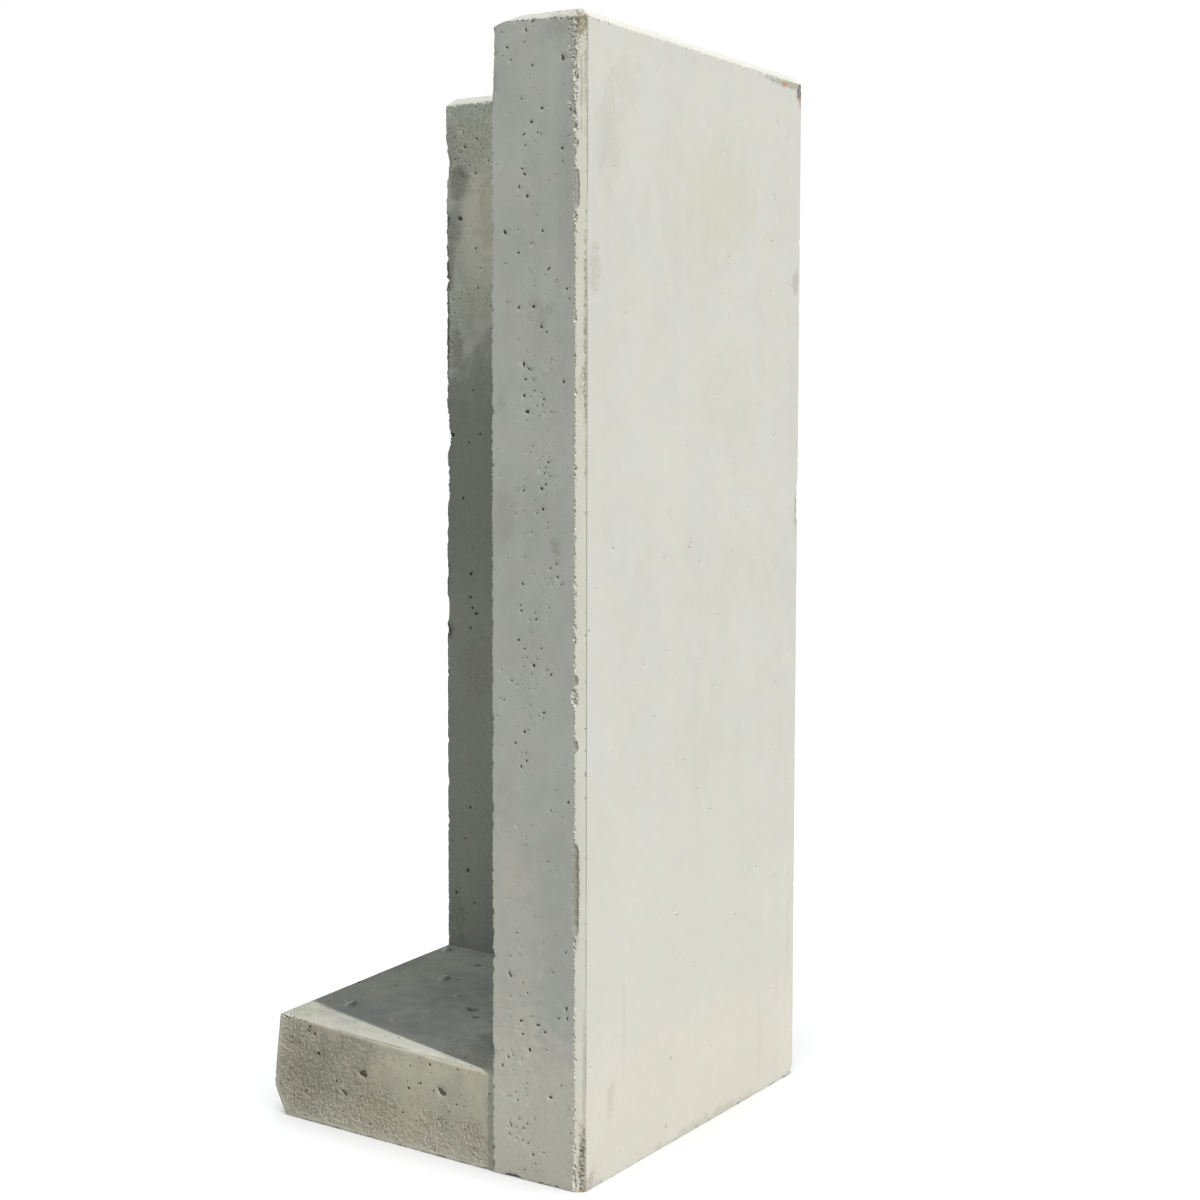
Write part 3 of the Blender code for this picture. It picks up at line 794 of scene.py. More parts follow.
# Rows of holes: place in the face's frame, half sizes, turn and depth.  On the upright
# faces the place is (minus back, up), on the foot's top (along, back); a depth below
# zero is a mortar lump.
END_HOLES = (
    (-0.145, 2.466, 0.0020, 0.0046, 0.1, 0.003),
    (-0.207, 2.468, 0.0022, 0.0018, 0.0, 0.001),
    (-0.194, 2.435, 0.0030, 0.0028, 0.0, 0.003),
    (-0.184, 2.408, 0.0024, 0.0020, 0.0, 0.002),
    (-0.052, 2.400, 0.0040, 0.0064, 0.5, 0.005),
    (-0.104, 2.301, 0.0036, 0.0028, 0.2, 0.003),
    (-0.131, 2.275, 0.0044, 0.0032, -0.4, 0.002),
    (-0.150, 2.251, 0.0046, 0.0018, 0.4, 0.002),
    (-0.115, 2.252, 0.0022, 0.0020, 0.0, 0.002),
    (-0.146, 2.228, 0.0030, 0.0016, -0.5, 0.0015),
    (-0.053, 2.215, 0.0038, 0.0026, -0.6, 0.003),
    (-0.154, 2.180, 0.0024, 0.0022, 0.0, 0.002),
    (-0.163, 2.143, 0.0018, 0.0052, 0.1, 0.002),
    (-0.142, 2.122, 0.0044, 0.0034, 0.0, 0.003),
    (-0.200, 2.050, 0.0040, 0.0050, 0.2, 0.004),
    (-0.103, 2.048, 0.0032, 0.0024, 0.9, 0.003),
    (-0.165, 2.005, 0.0028, 0.0026, 0.0, 0.003),
    (-0.087, 1.968, 0.0050, 0.0022, 0.8, 0.003),
    (-0.041, 1.925, 0.0026, 0.0026, 0.0, 0.003),
    (-0.164, 1.890, 0.0036, 0.0030, 0.5, 0.003),
    (-0.106, 1.848, 0.0046, 0.0020, -0.7, 0.003),
    (-0.151, 1.770, 0.0028, 0.0058, 0.3, 0.004),
    (-0.137, 1.760, 0.0052, 0.0018, -0.7, 0.003),
    (-0.049, 1.732, 0.0036, 0.0026, -0.6, 0.003),
    (-0.150, 1.704, 0.0034, 0.0034, 0.0, 0.004),
    (-0.142, 1.670, 0.0058, 0.0038, -0.3, 0.004),
    (-0.188, 0.449, 0.0028, 0.0080, 0.5, 0.004),
    (-0.040, 0.397, 0.0024, 0.0056, -0.4, 0.003),
    (-0.038, 0.376, 0.0022, 0.0040, 0.1, 0.003),
    (-0.114, 0.349, 0.0058, 0.0020, 0.0, 0.004),
    (-0.136, 0.291, 0.0046, 0.0034, -0.5, 0.004),
    (-0.081, 0.196, 0.0040, 0.0032, 0.0, 0.004),
    (-0.187, 0.116, 0.0022, 0.0060, 0.5, 0.003),
)
INNER_HOLES = (
    (-0.888, 2.186, 0.0070, 0.0056, 0.4, 0.0070),
    (-0.845, 1.737, 0.0034, 0.0020, 0.4, 0.0030),
    (-0.914, 1.621, 0.0050, 0.0050, 0.0, 0.0050),
    (-0.860, 1.600, 0.0024, 0.0022, 0.0, 0.0030),
    (-0.880, 1.453, 0.0030, 0.0036, 0.3, 0.0040),
    (-0.855, 1.253, 0.0048, 0.0042, 0.5, 0.0050),
    (-0.857, 1.191, 0.0040, 0.0034, 0.3, 0.0040),
    (-0.850, 1.163, 0.0046, 0.0028, -0.6, 0.0040),
    (-0.838, 1.148, 0.0070, 0.0034, 0.1, 0.0050),
    (-0.856, 1.109, 0.0020, 0.0050, 0.1, 0.0030),
    (-0.876, 0.541, 0.0028, 0.0024, 0.0, 0.0030),
    (-0.868, 0.455, 0.0040, 0.0058, 0.2, 0.0050),
    (-0.847, 0.369, 0.0030, 0.0026, 0.0, 0.0030),
)
FOOT_HOLES = (
    (-0.620, 0.145, 0.0125, 0.0080, 0.25, 0.0080),
    (-0.678, 0.089, 0.0095, 0.0050, -0.6, 0.0055),
    (-0.384, 0.149, 0.0120, 0.0075, -0.30, 0.0075),
    (-0.760, 0.167, 0.0050, 0.0042, 0.2, 0.0040),
    (-0.771, 0.213, 0.0036, 0.0040, 0.5, 0.0040),
    (-0.481, 0.139, 0.0038, 0.0032, 0.0, 0.0030),
    (-0.446, 0.157, 0.0032, 0.0030, 0.0, 0.0030),
)
FOOT_TOP_HOLES = (
    (0.340, 0.548, 0.0110, 0.0160, 0.3, 0.008),
    (0.296, 0.506, 0.0070, 0.0110, 0.2, 0.006),
    (0.648, 0.761, 0.0100, 0.0080, 0.0, 0.007),
    (0.186, 0.802, 0.0140, 0.0110, 0.6, -0.009),
    (0.205, 0.826, 0.0060, 0.0050, 0.0, -0.005),
    (0.494, 0.752, 0.0150, 0.0090, 0.2, -0.009),
    (0.702, 0.905, 0.0130, 0.0090, 0.0, -0.009),
    (0.150, 0.640, 0.0050, 0.0040, 0.0, -0.003),
    (0.400, 0.640, 0.0060, 0.0040, 0.4, -0.003),
)


# ---------------------------------------------------------- the front panel

def free_arris_wear(up):
    """The free front arris is crumbled near the top and the foot, neater between."""
    crumbled = 1.3 * float(step_up(up, 2.12, 2.26)) + 0.6 * float(step_up(-up, -0.36, -0.20))
    return 0.82 + 0.63 * crumbled


def crumbled_top(up):
    """Crumbs lost from the free end just behind its front arris, at the top and the foot."""
    return float(step_up(up, 2.20, 2.30)) + 0.45 * float(step_up(-up, -0.32, -0.20))


# Corners, place along the arris, out, across, half sizes, square, dark (painted shade with some dirt)
FRONT_CHIPS = (
    ("f0", "f1", 0.657, 0.0030, 0.0024, (0.101, 0.0085, 0.0085), 14, 0.36),
    ("f0", "f1", 2.130, 0.0030, 0.0026, (0.044, 0.0080, 0.0090), 5, 0.45),
    ("f0", "f1", 1.104, 0.0020, 0.0026, (0.013, 0.0066, 0.0066), 2, 0.60),
    ("f0", "f1", 0.965, 0.0020, 0.0026, (0.015, 0.0066, 0.0066), 2, 0.60),
    ("e0", "e1", 2.470, 0.0035, 0.0000, (0.190, 0.0120, 0.0120), 2, 0.00),
    ("e0", "f0", 0.055, 0.0030, 0.0000, (0.024, 0.0080, 0.0080), 3, 0.80),
    ("e0", "f0", 0.129, 0.0030, 0.0000, (0.009, 0.0060, 0.0060), 2, 0.80),
    ("e0", "f0", 0.171, 0.0030, 0.0000, (0.008, 0.0060, 0.0060), 2, 0.80),
    ("a0", "b0", 0.952, 0.0030, 0.0000, (0.018, 0.0080, 0.0080), 3, 0.05),
    ("b0", "b1", 1.462, 0.0010, 0.0000, (0.052, 0.0062, 0.0062), 8, 0.10),
)
# Corners, spacing, size, stretch, and for some a strength and a spread
FRONT_RIMS = (
    ("a0", "a1", 0.030, 0.0011, 4.0),
    ("f0", "f1", 0.0042, 0.0021, 1.4, free_arris_wear),
    ("f0", "f1", 0.055, 0.0042, 2.0, free_arris_wear),
    ("f0", "f1", 0.0026, 0.0026, 1.0, crumbled_top, 0.018),
    ("e0", "e1", 0.0040, 0.0028, 1.4),
    ("e0", "e1", 0.070, 0.0040, 2.0),
    ("b0", "b1", 0.020, 0.0016, 3.0),
    ("c0", "c1", 0.018, 0.0018, 3.0),
    ("a1", "b1", 0.009, 0.0018, 2.0),
    ("a2", "b2", 0.012, 0.0016, 3.0),
    ("f1", "k1", 0.0045, 0.0030, 1.5),
    ("f1", "k1", 0.030, 0.0036, 2.0),
    ("k1", "e1", 0.0050, 0.0014, 1.5),
    ("f2", "e2", 0.012, 0.0018, 2.0),
    ("f1", "f2", 0.006, 0.0026, 1.5),
    ("e1", "g1", 0.014, 0.0020, 3.0),
    ("n2", "h2", 0.016, 0.0018, 3.0),
    ("a0", "b0", 0.015, 0.0018, 3.0),
    ("e0", "f0", 0.007, 0.0017, 2.0),
)


def crown_corner(*slopes):
    """Where two sloping planes, each given by three points, meet the level top."""
    planes = [((b - a).cross(c - a), a) for a, b, c in slopes]
    planes.append((Vector((0, 0, 1)), at(0, 0, HEIGHT)))
    return Vector(np.linalg.solve([normal for normal, _ in planes],
                                  [normal.dot(point) for normal, point in planes]))


def upright_corners(names, outline, crown):
    """Corners of an upright casting: at the ground, below its top chamfer and on its top."""
    corners = {}
    for name, foot, head in zip(names, outline, crown):
        corners[name + "0"] = at(foot.x, foot.y, 0)
        corners[name + "1"] = at(foot.x, foot.y, HEIGHT - TOP_CHAMFER)
        corners[name + "2"] = at(head.x, head.y, HEIGHT)
    return corners


def front_corners():
    lower = HEIGHT - TOP_CHAMFER
    outline = [Vector((FREE_CHAMFER_FRONT, 0)), Vector((WIDTH - CORNER_CHAMFER, 0)),
               Vector((WIDTH, CORNER_CHAMFER)), Vector((WIDTH, PANEL)), Vector((0, PANEL)),
               Vector((0, FREE_CHAMFER_SIDE))]
    crown = inset(outline, TOP_CHAMFER)
    crown[3] = Vector((WIDTH - TOP_CHAMFER, PANEL))
    corners = upright_corners("abcdef", outline, crown)
    corners["g1"] = at(INNER, PANEL, lower)
    corners["g2"] = at(INNER + TOP_CHAMFER, PANEL, HEIGHT)
    corners["h2"] = at(INNER + TOP_CHAMFER, PANEL - TOP_CHAMFER, HEIGHT)
    corners["k1"] = at(0, PANEL - CLIP_DEPTH, lower + CLIP_RISE)
    corners["n2"] = at(CLIP_REACH, PANEL - TOP_CHAMFER, HEIGHT)
    corners["e2"] = crown_corner([corners[name] for name in ("f1", "f2", "k1")],
                                 [corners[name] for name in ("e1", "k1", "n2")])
    return corners


def front_seen_faces():
    """The front, the free end and the strip between them."""
    free_end_bands = (("f0", "f1", 0.015, 0.0020), ("e0", "e1", 0.007, 0.0024),
                      ("k1", "f1", 0.007, 0.0025), ("e0", "f0", 0.010, 0.0028))
    return [
        Face("a0 b0 b1 a1", 0.016, FRONT, gentle(0.0006, 0.35, 3),
             scattered_pits(130, 0.0010, 0.0024, 11, front_pit_chance), NEAR_ROWS,
             groove=("a0", "a1")),
        Face("e0 f0 f1 k1 e1", 0.011, END, gentle(0.0005, 0.12, 5),
             placed_pits(END_HOLES, scattered_pits(300, 0.0011, 0.0040, 12, end_pit_chance, 0.010)),
             NEAR_ROWS, free_end_bands),
        Face("f0 a0 a1 f1", 0.0019, CHAMFER, strip_relief, rows=(0.0012,), cavity_shade=0.8),
    ]


def front_hidden_faces():
    """The outer corner, the far end, the rear and the underside."""
    return [
        Face("b0 c0 c1 b1", 0.008, FRONT, rows=(0.003,)),
        Face("c0 d0 d1 c1", 0.014, FRONT, gentle(0.0005, 0.2, 6),
             scattered_pits(60, 0.0010, 0.0035, 13), (0.004,)),
        Face("d0 e0 e1 g1 g2 d2 d1", 0.020, END, gentle(0.0006, 0.2, 8),
             scattered_pits(110, 0.0012, 0.0040, 14), (0.002, 0.006)),
        Face("a0 f0 e0 d0 c0 b0", 0.020, END, gentle(0.0004, 0.1, 9), rows=(0.003,)),
    ]


def front_top_faces():
    """The level top and the chamfers round it, with the clipped corner."""
    wells = [Well("socket_plug_1"), Well("socket_plug_2")]
    top = Face("a2 b2 c2 d2 g2 h2 n2 e2 f2", 0.012, CHAMFER, gentle(0.0006, 0.08, 10),
               joined_pits(wells, scattered_pits(60, 0.0010, 0.0025, 15)), (0.002, 0.006))
    plain = (
        # corners, step, finish, row
        ("a1 b1 b2 a2", 0.0055, CHAMFER, 0.002),
        ("b1 c1 c2 b2", 0.006, CHAMFER, 0.002),
        ("c1 d1 d2 c2", 0.008, CHAMFER, 0.003),
        ("e1 g1 h2 n2", 0.006, CHAMFER, 0.002),
        ("e1 k1 e2 n2", 0.0026, END, 0.0014),
        ("g1 g2 h2", 0.008, CHAMFER, 0.003),
        ("f1 k1 e2 f2", 0.0026, CHAMFER, 0.0014),
        ("f1 a1 a2 f2", 0.0026, CHAMFER, 0.0014),
    )
    return [top] + [Face(loop, step, finish, rows=(row,)) for loop, step, finish, row in plain]


def front_panel():
    faces = front_seen_faces() + front_hidden_faces() + front_top_faces()
    fine = [("f0", "f1"), ("e0", "e1"), ("e1", "k1"), ("k1", "f1"), ("a0", "f0")]
    casting = Casting("front_wall_panel_cast", front_corners(), faces, 1, fine, 0.0022)
    return casting.build([Rounding("c0", "b0", 0.034, 0.1, 0.02)], FRONT_RIMS, FRONT_CHIPS)


# --------------------------------------------------------- the return panel

def rear_arris_wear(up):
    """The return panel's rear arris lost most below its top stretch, and little low down."""
    return 0.7 + 0.7 * float(step_up(-up, -2.37, -2.33)) - 0.95 * float(step_up(-up, -1.45, -1.25))


# Height and half length of the deep nicks in the rear arris, darkened with painted shade
ARRIS_NICKS = (
    (2.180, 0.014),
    (2.090, 0.012),
    (1.980, 0.014),
    (1.910, 0.016),
    (1.850, 0.010),
    (1.805, 0.018),
    (1.620, 0.010),
    (1.255, 0.018),
    (1.100, 0.012),
    (0.803, 0.007),
    (0.690, 0.013),
)
RETURN_CHIPS = (
    ("t0", "t1", 2.325, 0.0020, 0.0000, (0.040, 0.0130, 0.0130), 3, 0.35),
    ("t0", "t1", 1.610, 0.0030, 0.0000, (0.045, 0.0120, 0.0120), 3, 0.20),
    ("t0", "t1", 1.157, 0.0020, 0.0000, (0.036, 0.0090, 0.0090), 3, 0.05),
) + tuple(("t0", "t1", up, 0.0010, 0.0, (tall, 0.0045, 0.0045), 3, 0.6) for up, tall in ARRIS_NICKS)
RETURN_RIMS = (
    ("t0", "t1", 0.0060, 0.0030, 2.0, rear_arris_wear),
    ("t0", "t1", 0.050, 0.0065, 2.5, rear_arris_wear),
    ("t1", "p1", 0.0070, 0.0028, 1.5),
    ("t1", "p1", 0.060, 0.0050, 2.0),
    ("t2", "p2", 0.016, 0.0020, 2.0),
    ("s0", "s1", 0.016, 0.0018, 3.0),
    ("r0", "r1", 0.018, 0.0016, 3.0),
    ("s1", "t1", 0.014, 0.0020, 3.0),
)


def return_corners():
    outline = [Vector((INNER, RETURN_START)), Vector((WIDTH, RETURN_START)),
               Vector((WIDTH, RETURN_END - END_CHAMFER)), Vector((WIDTH - END_CHAMFER, RETURN_END)),
               Vector((INNER, RETURN_END))]
    crown = inset(outline, TOP_CHAMFER)
    crown[0] = Vector((INNER + TOP_CHAMFER, RETURN_START))
    crown[1] = Vector((WIDTH - TOP_CHAMFER, RETURN_START))
    return upright_corners("pqrst", outline, crown)


def return_faces():
    inner_pits = scattered_pits(420, 0.0015, 0.0048, 22, inner_pit_chance)
    top_pits = scattered_pits(50, 0.0010, 0.0025, 29)
    return [
        Face("t0 p0 p1 t1", 0.011, INSIDE, inner_relief, placed_pits(INNER_HOLES, inner_pits),
             NEAR_ROWS, (("t0", "t1", 0.012, 0.0030), ("p1", "t1", 0.008, 0.0030))),
        Face("s0 t0 t1 s1", 0.013, INSIDE, gentle(0.0006, 0.15, 23),
             scattered_pits(160, 0.0012, 0.0040, 24), (0.002, 0.006),
             (("t0", "t1", 0.006, 0.0030),)),
        Face("r0 s0 s1 r1", 0.008, INSIDE, rows=(0.003,)),
        Face("q0 r0 r1 q1", 0.016, FRONT, gentle(0.0006, 0.3, 25),
             scattered_pits(110, 0.0010, 0.0026, 26), (0.004,)),
        Face("p0 q0 q1 q2 p2 p1", 0.030, INSIDE),
        Face("p0 t0 s0 r0 q0", 0.020, INSIDE, gentle(0.0004, 0.1, 27), rows=(0.003,)),
        Face("p2 q2 r2 s2 t2", 0.012, CHAMFER, gentle(0.0006, 0.08, 28),
             joined_pits([Well("socket_plug_3")], top_pits), (0.002, 0.006)),
        Face("t1 p1 p2 t2", 0.0045, CHAMFER, rows=(0.002,)),
        Face("s1 t1 t2 s2", 0.006, CHAMFER, rows=(0.002,)),
        Face("r1 s1 s2 r2", 0.006, CHAMFER, rows=(0.002,)),
        Face("q1 r1 r2 q2", 0.008, CHAMFER, rows=(0.003,)),
    ]


def return_panel():
    casting = Casting("return_wall_panel_cast", return_corners(), return_faces(), 2,
                      [("t0", "t1"), ("t1", "p1")], 0.0026)
    return casting.build([], RETURN_RIMS, RETURN_CHIPS)


# ------------------------------------------------------------ the foot slab

def free_side_at(depth):
    return FOOT_SIDE + FOOT_SIDE_RISE * (depth - FOOT_START)


def foot_top_at(depth):
    return FOOT_TOP_AT_PANEL + FOOT_TOP_RISE * (depth - FOOT_START)


def heel_crumbs(place):
    """The foot's free upper arris is ragged near the heel and smooth toward the wall."""
    return 1 - float(step_up(place, 0.08, 0.18))


def far_heel(depth):
    return depth + HEEL_SKEW * (FOOT_FAR - free_side_at(depth))


FOOT_RIMS = (
    ("d0", "e0", 0.0050, 0.0048, 1.4, heel_crumbs, 0.003),
    ("d0", "d1", 0.012, 0.0030, 2.0),
    ("c0", "d0", 0.010, 0.0026, 2.0),
    ("b0", "c0", 0.012, 0.0024, 2.0),
    ("a0", "b0", 0.010, 0.0026, 2.0),
)


def foot_corners():
    """Corners a to e go round the free side (0) and round the side in the corner (1)."""
    heel = (("b", HEEL_BOTTOM, 0), ("c", HEEL_WIDEST, HEEL_WIDEST_HEIGHT))
    corners = {
        "a0": at(FOOT_SIDE, FOOT_START, 0),
        "e0": at(FOOT_SIDE, FOOT_START, FOOT_TOP_AT_PANEL),
        "a1": at(FOOT_FAR, FOOT_START, 0),
        "e1": at(FOOT_FAR, FOOT_START, FOOT_TOP_AT_PANEL),
        "d0": at(free_side_at(HEEL_TOP), HEEL_TOP, foot_top_at(HEEL_TOP)),
        "d1": at(FOOT_FAR, far_heel(HEEL_TOP), foot_top_at(far_heel(HEEL_TOP))),
    }
    for name, depth, up in heel:
        corners[name + "0"] = at(free_side_at(depth), depth, up)
        corners[name + "1"] = at(FOOT_FAR, far_heel(depth), up)
    return corners


def foot_faces():
    return [
        Face("a0 b0 c0 d0 e0", 0.0023, FOOT_WALL, foot_sand,
             placed_pits(FOOT_HOLES, scattered_pits(120, 0.0014, 0.0036, 32)), (0.0018,),
             cavity_shade=0.28),
        Face("e0 d0 d1 e1", 0.0070, FOOT_TOP, trowelled,
             placed_pits(FOOT_TOP_HOLES, scattered_pits(60, 0.0015, 0.0050, 34)), (0.003,),
             (("e0", "d0", 0.028, 0.0035), ("d0", "d1", 0.014, 0.0040))),
        Face("c0 c1 d1 d0", 0.010, FOOT_WALL, gentle(0.0006, 0.1, 35),
             scattered_pits(90, 0.0012, 0.0040, 36), (0.003,)),
        Face("b0 b1 c1 c0", 0.010, FOOT_WALL, gentle(0.0006, 0.1, 37),
             scattered_pits(40, 0.0012, 0.0040, 38), (0.003,)),
        Face("a0 a1 b1 b0", 0.025, FOOT_WALL, rows=(0.003,)),
        Face("a0 e0 e1 a1", 0.030, FOOT_WALL),
        Face("a1 e1 d1 c1 b1", 0.030, FOOT_WALL),
    ]


def foot():
    casting = Casting("foot_slab_cast", foot_corners(), foot_faces(), 3,
                      [("e0", "d0"), ("d0", "d1")], 0.0030)
    roundings = [Rounding("d0", "e0", 0.013, 0.15, 0.26), Rounding("d0", "d1", 0.004, 0.4, 0.02)]
    return casting.build(roundings, FOOT_RIMS, ())


# --------------------------------------------------------------- materials

class Recipe:
    """A procedural material, its shader nodes added one by one.

    Places are read in the corner frame, so that stains sit where they should.
    """

    def __init__(self, name):
        self.material = bpy.data.materials.new(name)
        self.material.use_nodes = True
        self.tree = self.material.node_tree
        self.shader = self.tree.nodes["Principled BSDF"]
        coords = self.tree.nodes.new("ShaderNodeTexCoord")
        self.place = self.vector('SUBTRACT', coords.outputs["Object"], ORIGIN)

    def feed(self, socket, value):
        if isinstance(value, bpy.types.NodeSocket):
            self.tree.links.new(value, socket)
        elif value is not None:
            socket.default_value = value

    def vector(self, operation, a, b=None):
        node = self.tree.nodes.new("ShaderNodeVectorMath")
        node.operation = operation
        self.feed(node.inputs[0], a)
        self.feed(node.inputs[1], b)
        return node.outputs["Value" if operation == 'LENGTH' else "Vector"]

    def sum(self, operation, a, b):
        node = self.tree.nodes.new("ShaderNodeMath")
        node.operation = operation
        self.feed(node.inputs[0], a)
        self.feed(node.inputs[1], b)
        return node.outputs[0]

    def noise(self, cell, detail=2.0, stretch=(1, 1, 1)):
        """Noise around 0.5 whose features are about one cell wide."""
        node = self.tree.nodes.new("ShaderNodeTexNoise")
        node.inputs["Scale"].default_value = 1.0
        node.inputs["Detail"].default_value = detail
        scale = tuple(1.0 / (cell * s) for s in stretch)
        self.feed(node.inputs["Vector"], self.vector('MULTIPLY', self.place, scale))
        return node.outputs[0]

    def specks(self, cell, size):
        """1 inside round specks, one in each cell, that are size cells wide."""
        node = self.tree.nodes.new("ShaderNodeTexVoronoi")
        node.inputs["Scale"].default_value = 1.0 / cell
        self.feed(node.inputs["Vector"], self.place)
        return self.between(node.outputs["Distance"], size, size * 0.6)

    def between(self, value, low, high, out_low=0.0, out_high=1.0):
        node = self.tree.nodes.new("ShaderNodeMapRange")
        node.interpolation_type = 'SMOOTHSTEP'
        for socket, number in zip(node.inputs[1:5], (low, high, out_low, out_high)):
            socket.default_value = number
        self.feed(node.inputs[0], value)
        return node.outputs[0]

    def mix(self, share, a, b, blend='MIX'):
        node = self.tree.nodes.new("ShaderNodeMix")
        node.data_type = 'RGBA'
        node.blend_type = blend
        self.feed(node.inputs[0], share)
        self.feed(node.inputs[6], a)
        self.feed(node.inputs[7], b)
        return node.outputs[2]

    def attribute(self, name):
        node = self.tree.nodes.new("ShaderNodeAttribute")
        node.attribute_name = name
        return node.outputs["Fac"]

    def spot(self, centre, reach, edge):
        """A patch: 1 in the middle, 0 outside; edge is the noise that frays it."""
        offset = self.vector('SUBTRACT', self.place, centre)
        size = self.vector('LENGTH', self.vector('DIVIDE', offset, reach))
        return self.between(self.sum('ADD', size, edge), *SPOT_EDGE)

    def bump(self, heights):
        """Stack bumps: (height socket, strength, distance)."""
        normal = None
        for height, strength, distance in heights:
            node = self.tree.nodes.new("ShaderNodeBump")
            node.inputs["Strength"].default_value = strength
            node.inputs["Distance"].default_value = distance
            self.feed(node.inputs["Height"], height)
            self.feed(node.inputs["Normal"], normal)
            normal = node.outputs[0]
        self.feed(self.shader.inputs["Normal"], normal)


def tint(tone, factor):
    return tuple(min(1.0, channel * factor) for channel in tone) + (1.0,)


SPOT_EDGE = (1.40, 0.60)         # where a patch starts and is full, in reaches
DIRT = (0.180, 0.155, 0.100)
MOSS = (0.200, 0.190, 0.110)
OLIVE = (0.500, 0.480, 0.375)
# Pale: real pale patches, and painted light on sunlit parts of the foot's top and of the return
# panel's inside
PALE = (0.620, 0.590, 0.505)
RUST = (0.420, 0.220, 0.090)
CRUST = (0.640, 0.635, 0.590)
LIME = (0.760, 0.770, 0.750)
# Near-black: real dark marks, and painted shade at the nicks of the return panel's rear arris
SOOT_AND_SHADE = (0.045, 0.045, 0.038)
# Damp green-grey: real damp marks, and painted shade on the return panel's shaded inside and along
# the foot's joint with the wall
DAMP_AND_SHADE = (0.200, 0.210, 0.185)
WARM_HUE = (1.010, 0.996, 0.984, 1)
COOL_HUE = (0.988, 1.004, 1.004, 1)
SAND_SHADE = (0.58, 0.58, 0.55, 1)       # factors on the tone where the skin is washed off
SAND_LIGHT = (1.12, 1.11, 1.08, 1)
FRESH_SHADE = (0.15, 0.15, 0.12, 1)      # colours of newly broken concrete
FRESH_LIGHT = (0.78, 0.77, 0.71, 1)
MILL_SCALE = (0.10, 0.085, 0.075, 1)
BAR_RUST = (0.26, 0.12, 0.05, 1)
ZINC_DULL = (0.48, 0.49, 0.49, 1)
ZINC_BRIGHT = (0.62, 0.63, 0.62, 1)
CEMENT_DUST = (0.50, 0.49, 0.44, 1)
PORE_CELL = 0.014
PORE_SHADE = 0.75
FRESHNESS = 0.80
HOLLOW_SHADE_STRENGTH = 0.85


def cast_tone(recipe, tone, cloud, streak, sand, mottle, grain):
    """The sound concrete's colour: clouds, a drift of hue, drips and sand."""
    broad = recipe.noise(0.28, 4.0)
    drips = recipe.noise(0.050, 4.0, (1, 1, 9))
    colour = recipe.mix(recipe.between(broad, 0.32, 0.68), tint(tone, 1 - cloud),
                        tint(tone, 1 + cloud))
    hue = recipe.mix(recipe.between(recipe.noise(0.11, 3.0), 0.35, 0.65), WARM_HUE, COOL_HUE)
    colour = recipe.mix(1.0, colour, hue, 'MULTIPLY')
    for texture, amount in ((mottle, cloud * 0.7), (drips, streak), (grain, sand)):
        factor = recipe.mix(recipe.between(texture, 0.3, 0.7), (1 - amount,) * 3 + (1,),
                            (1 + amount,) * 3 + (1,))
        colour = recipe.mix(1.0, colour, factor, 'MULTIPLY')
    return colour


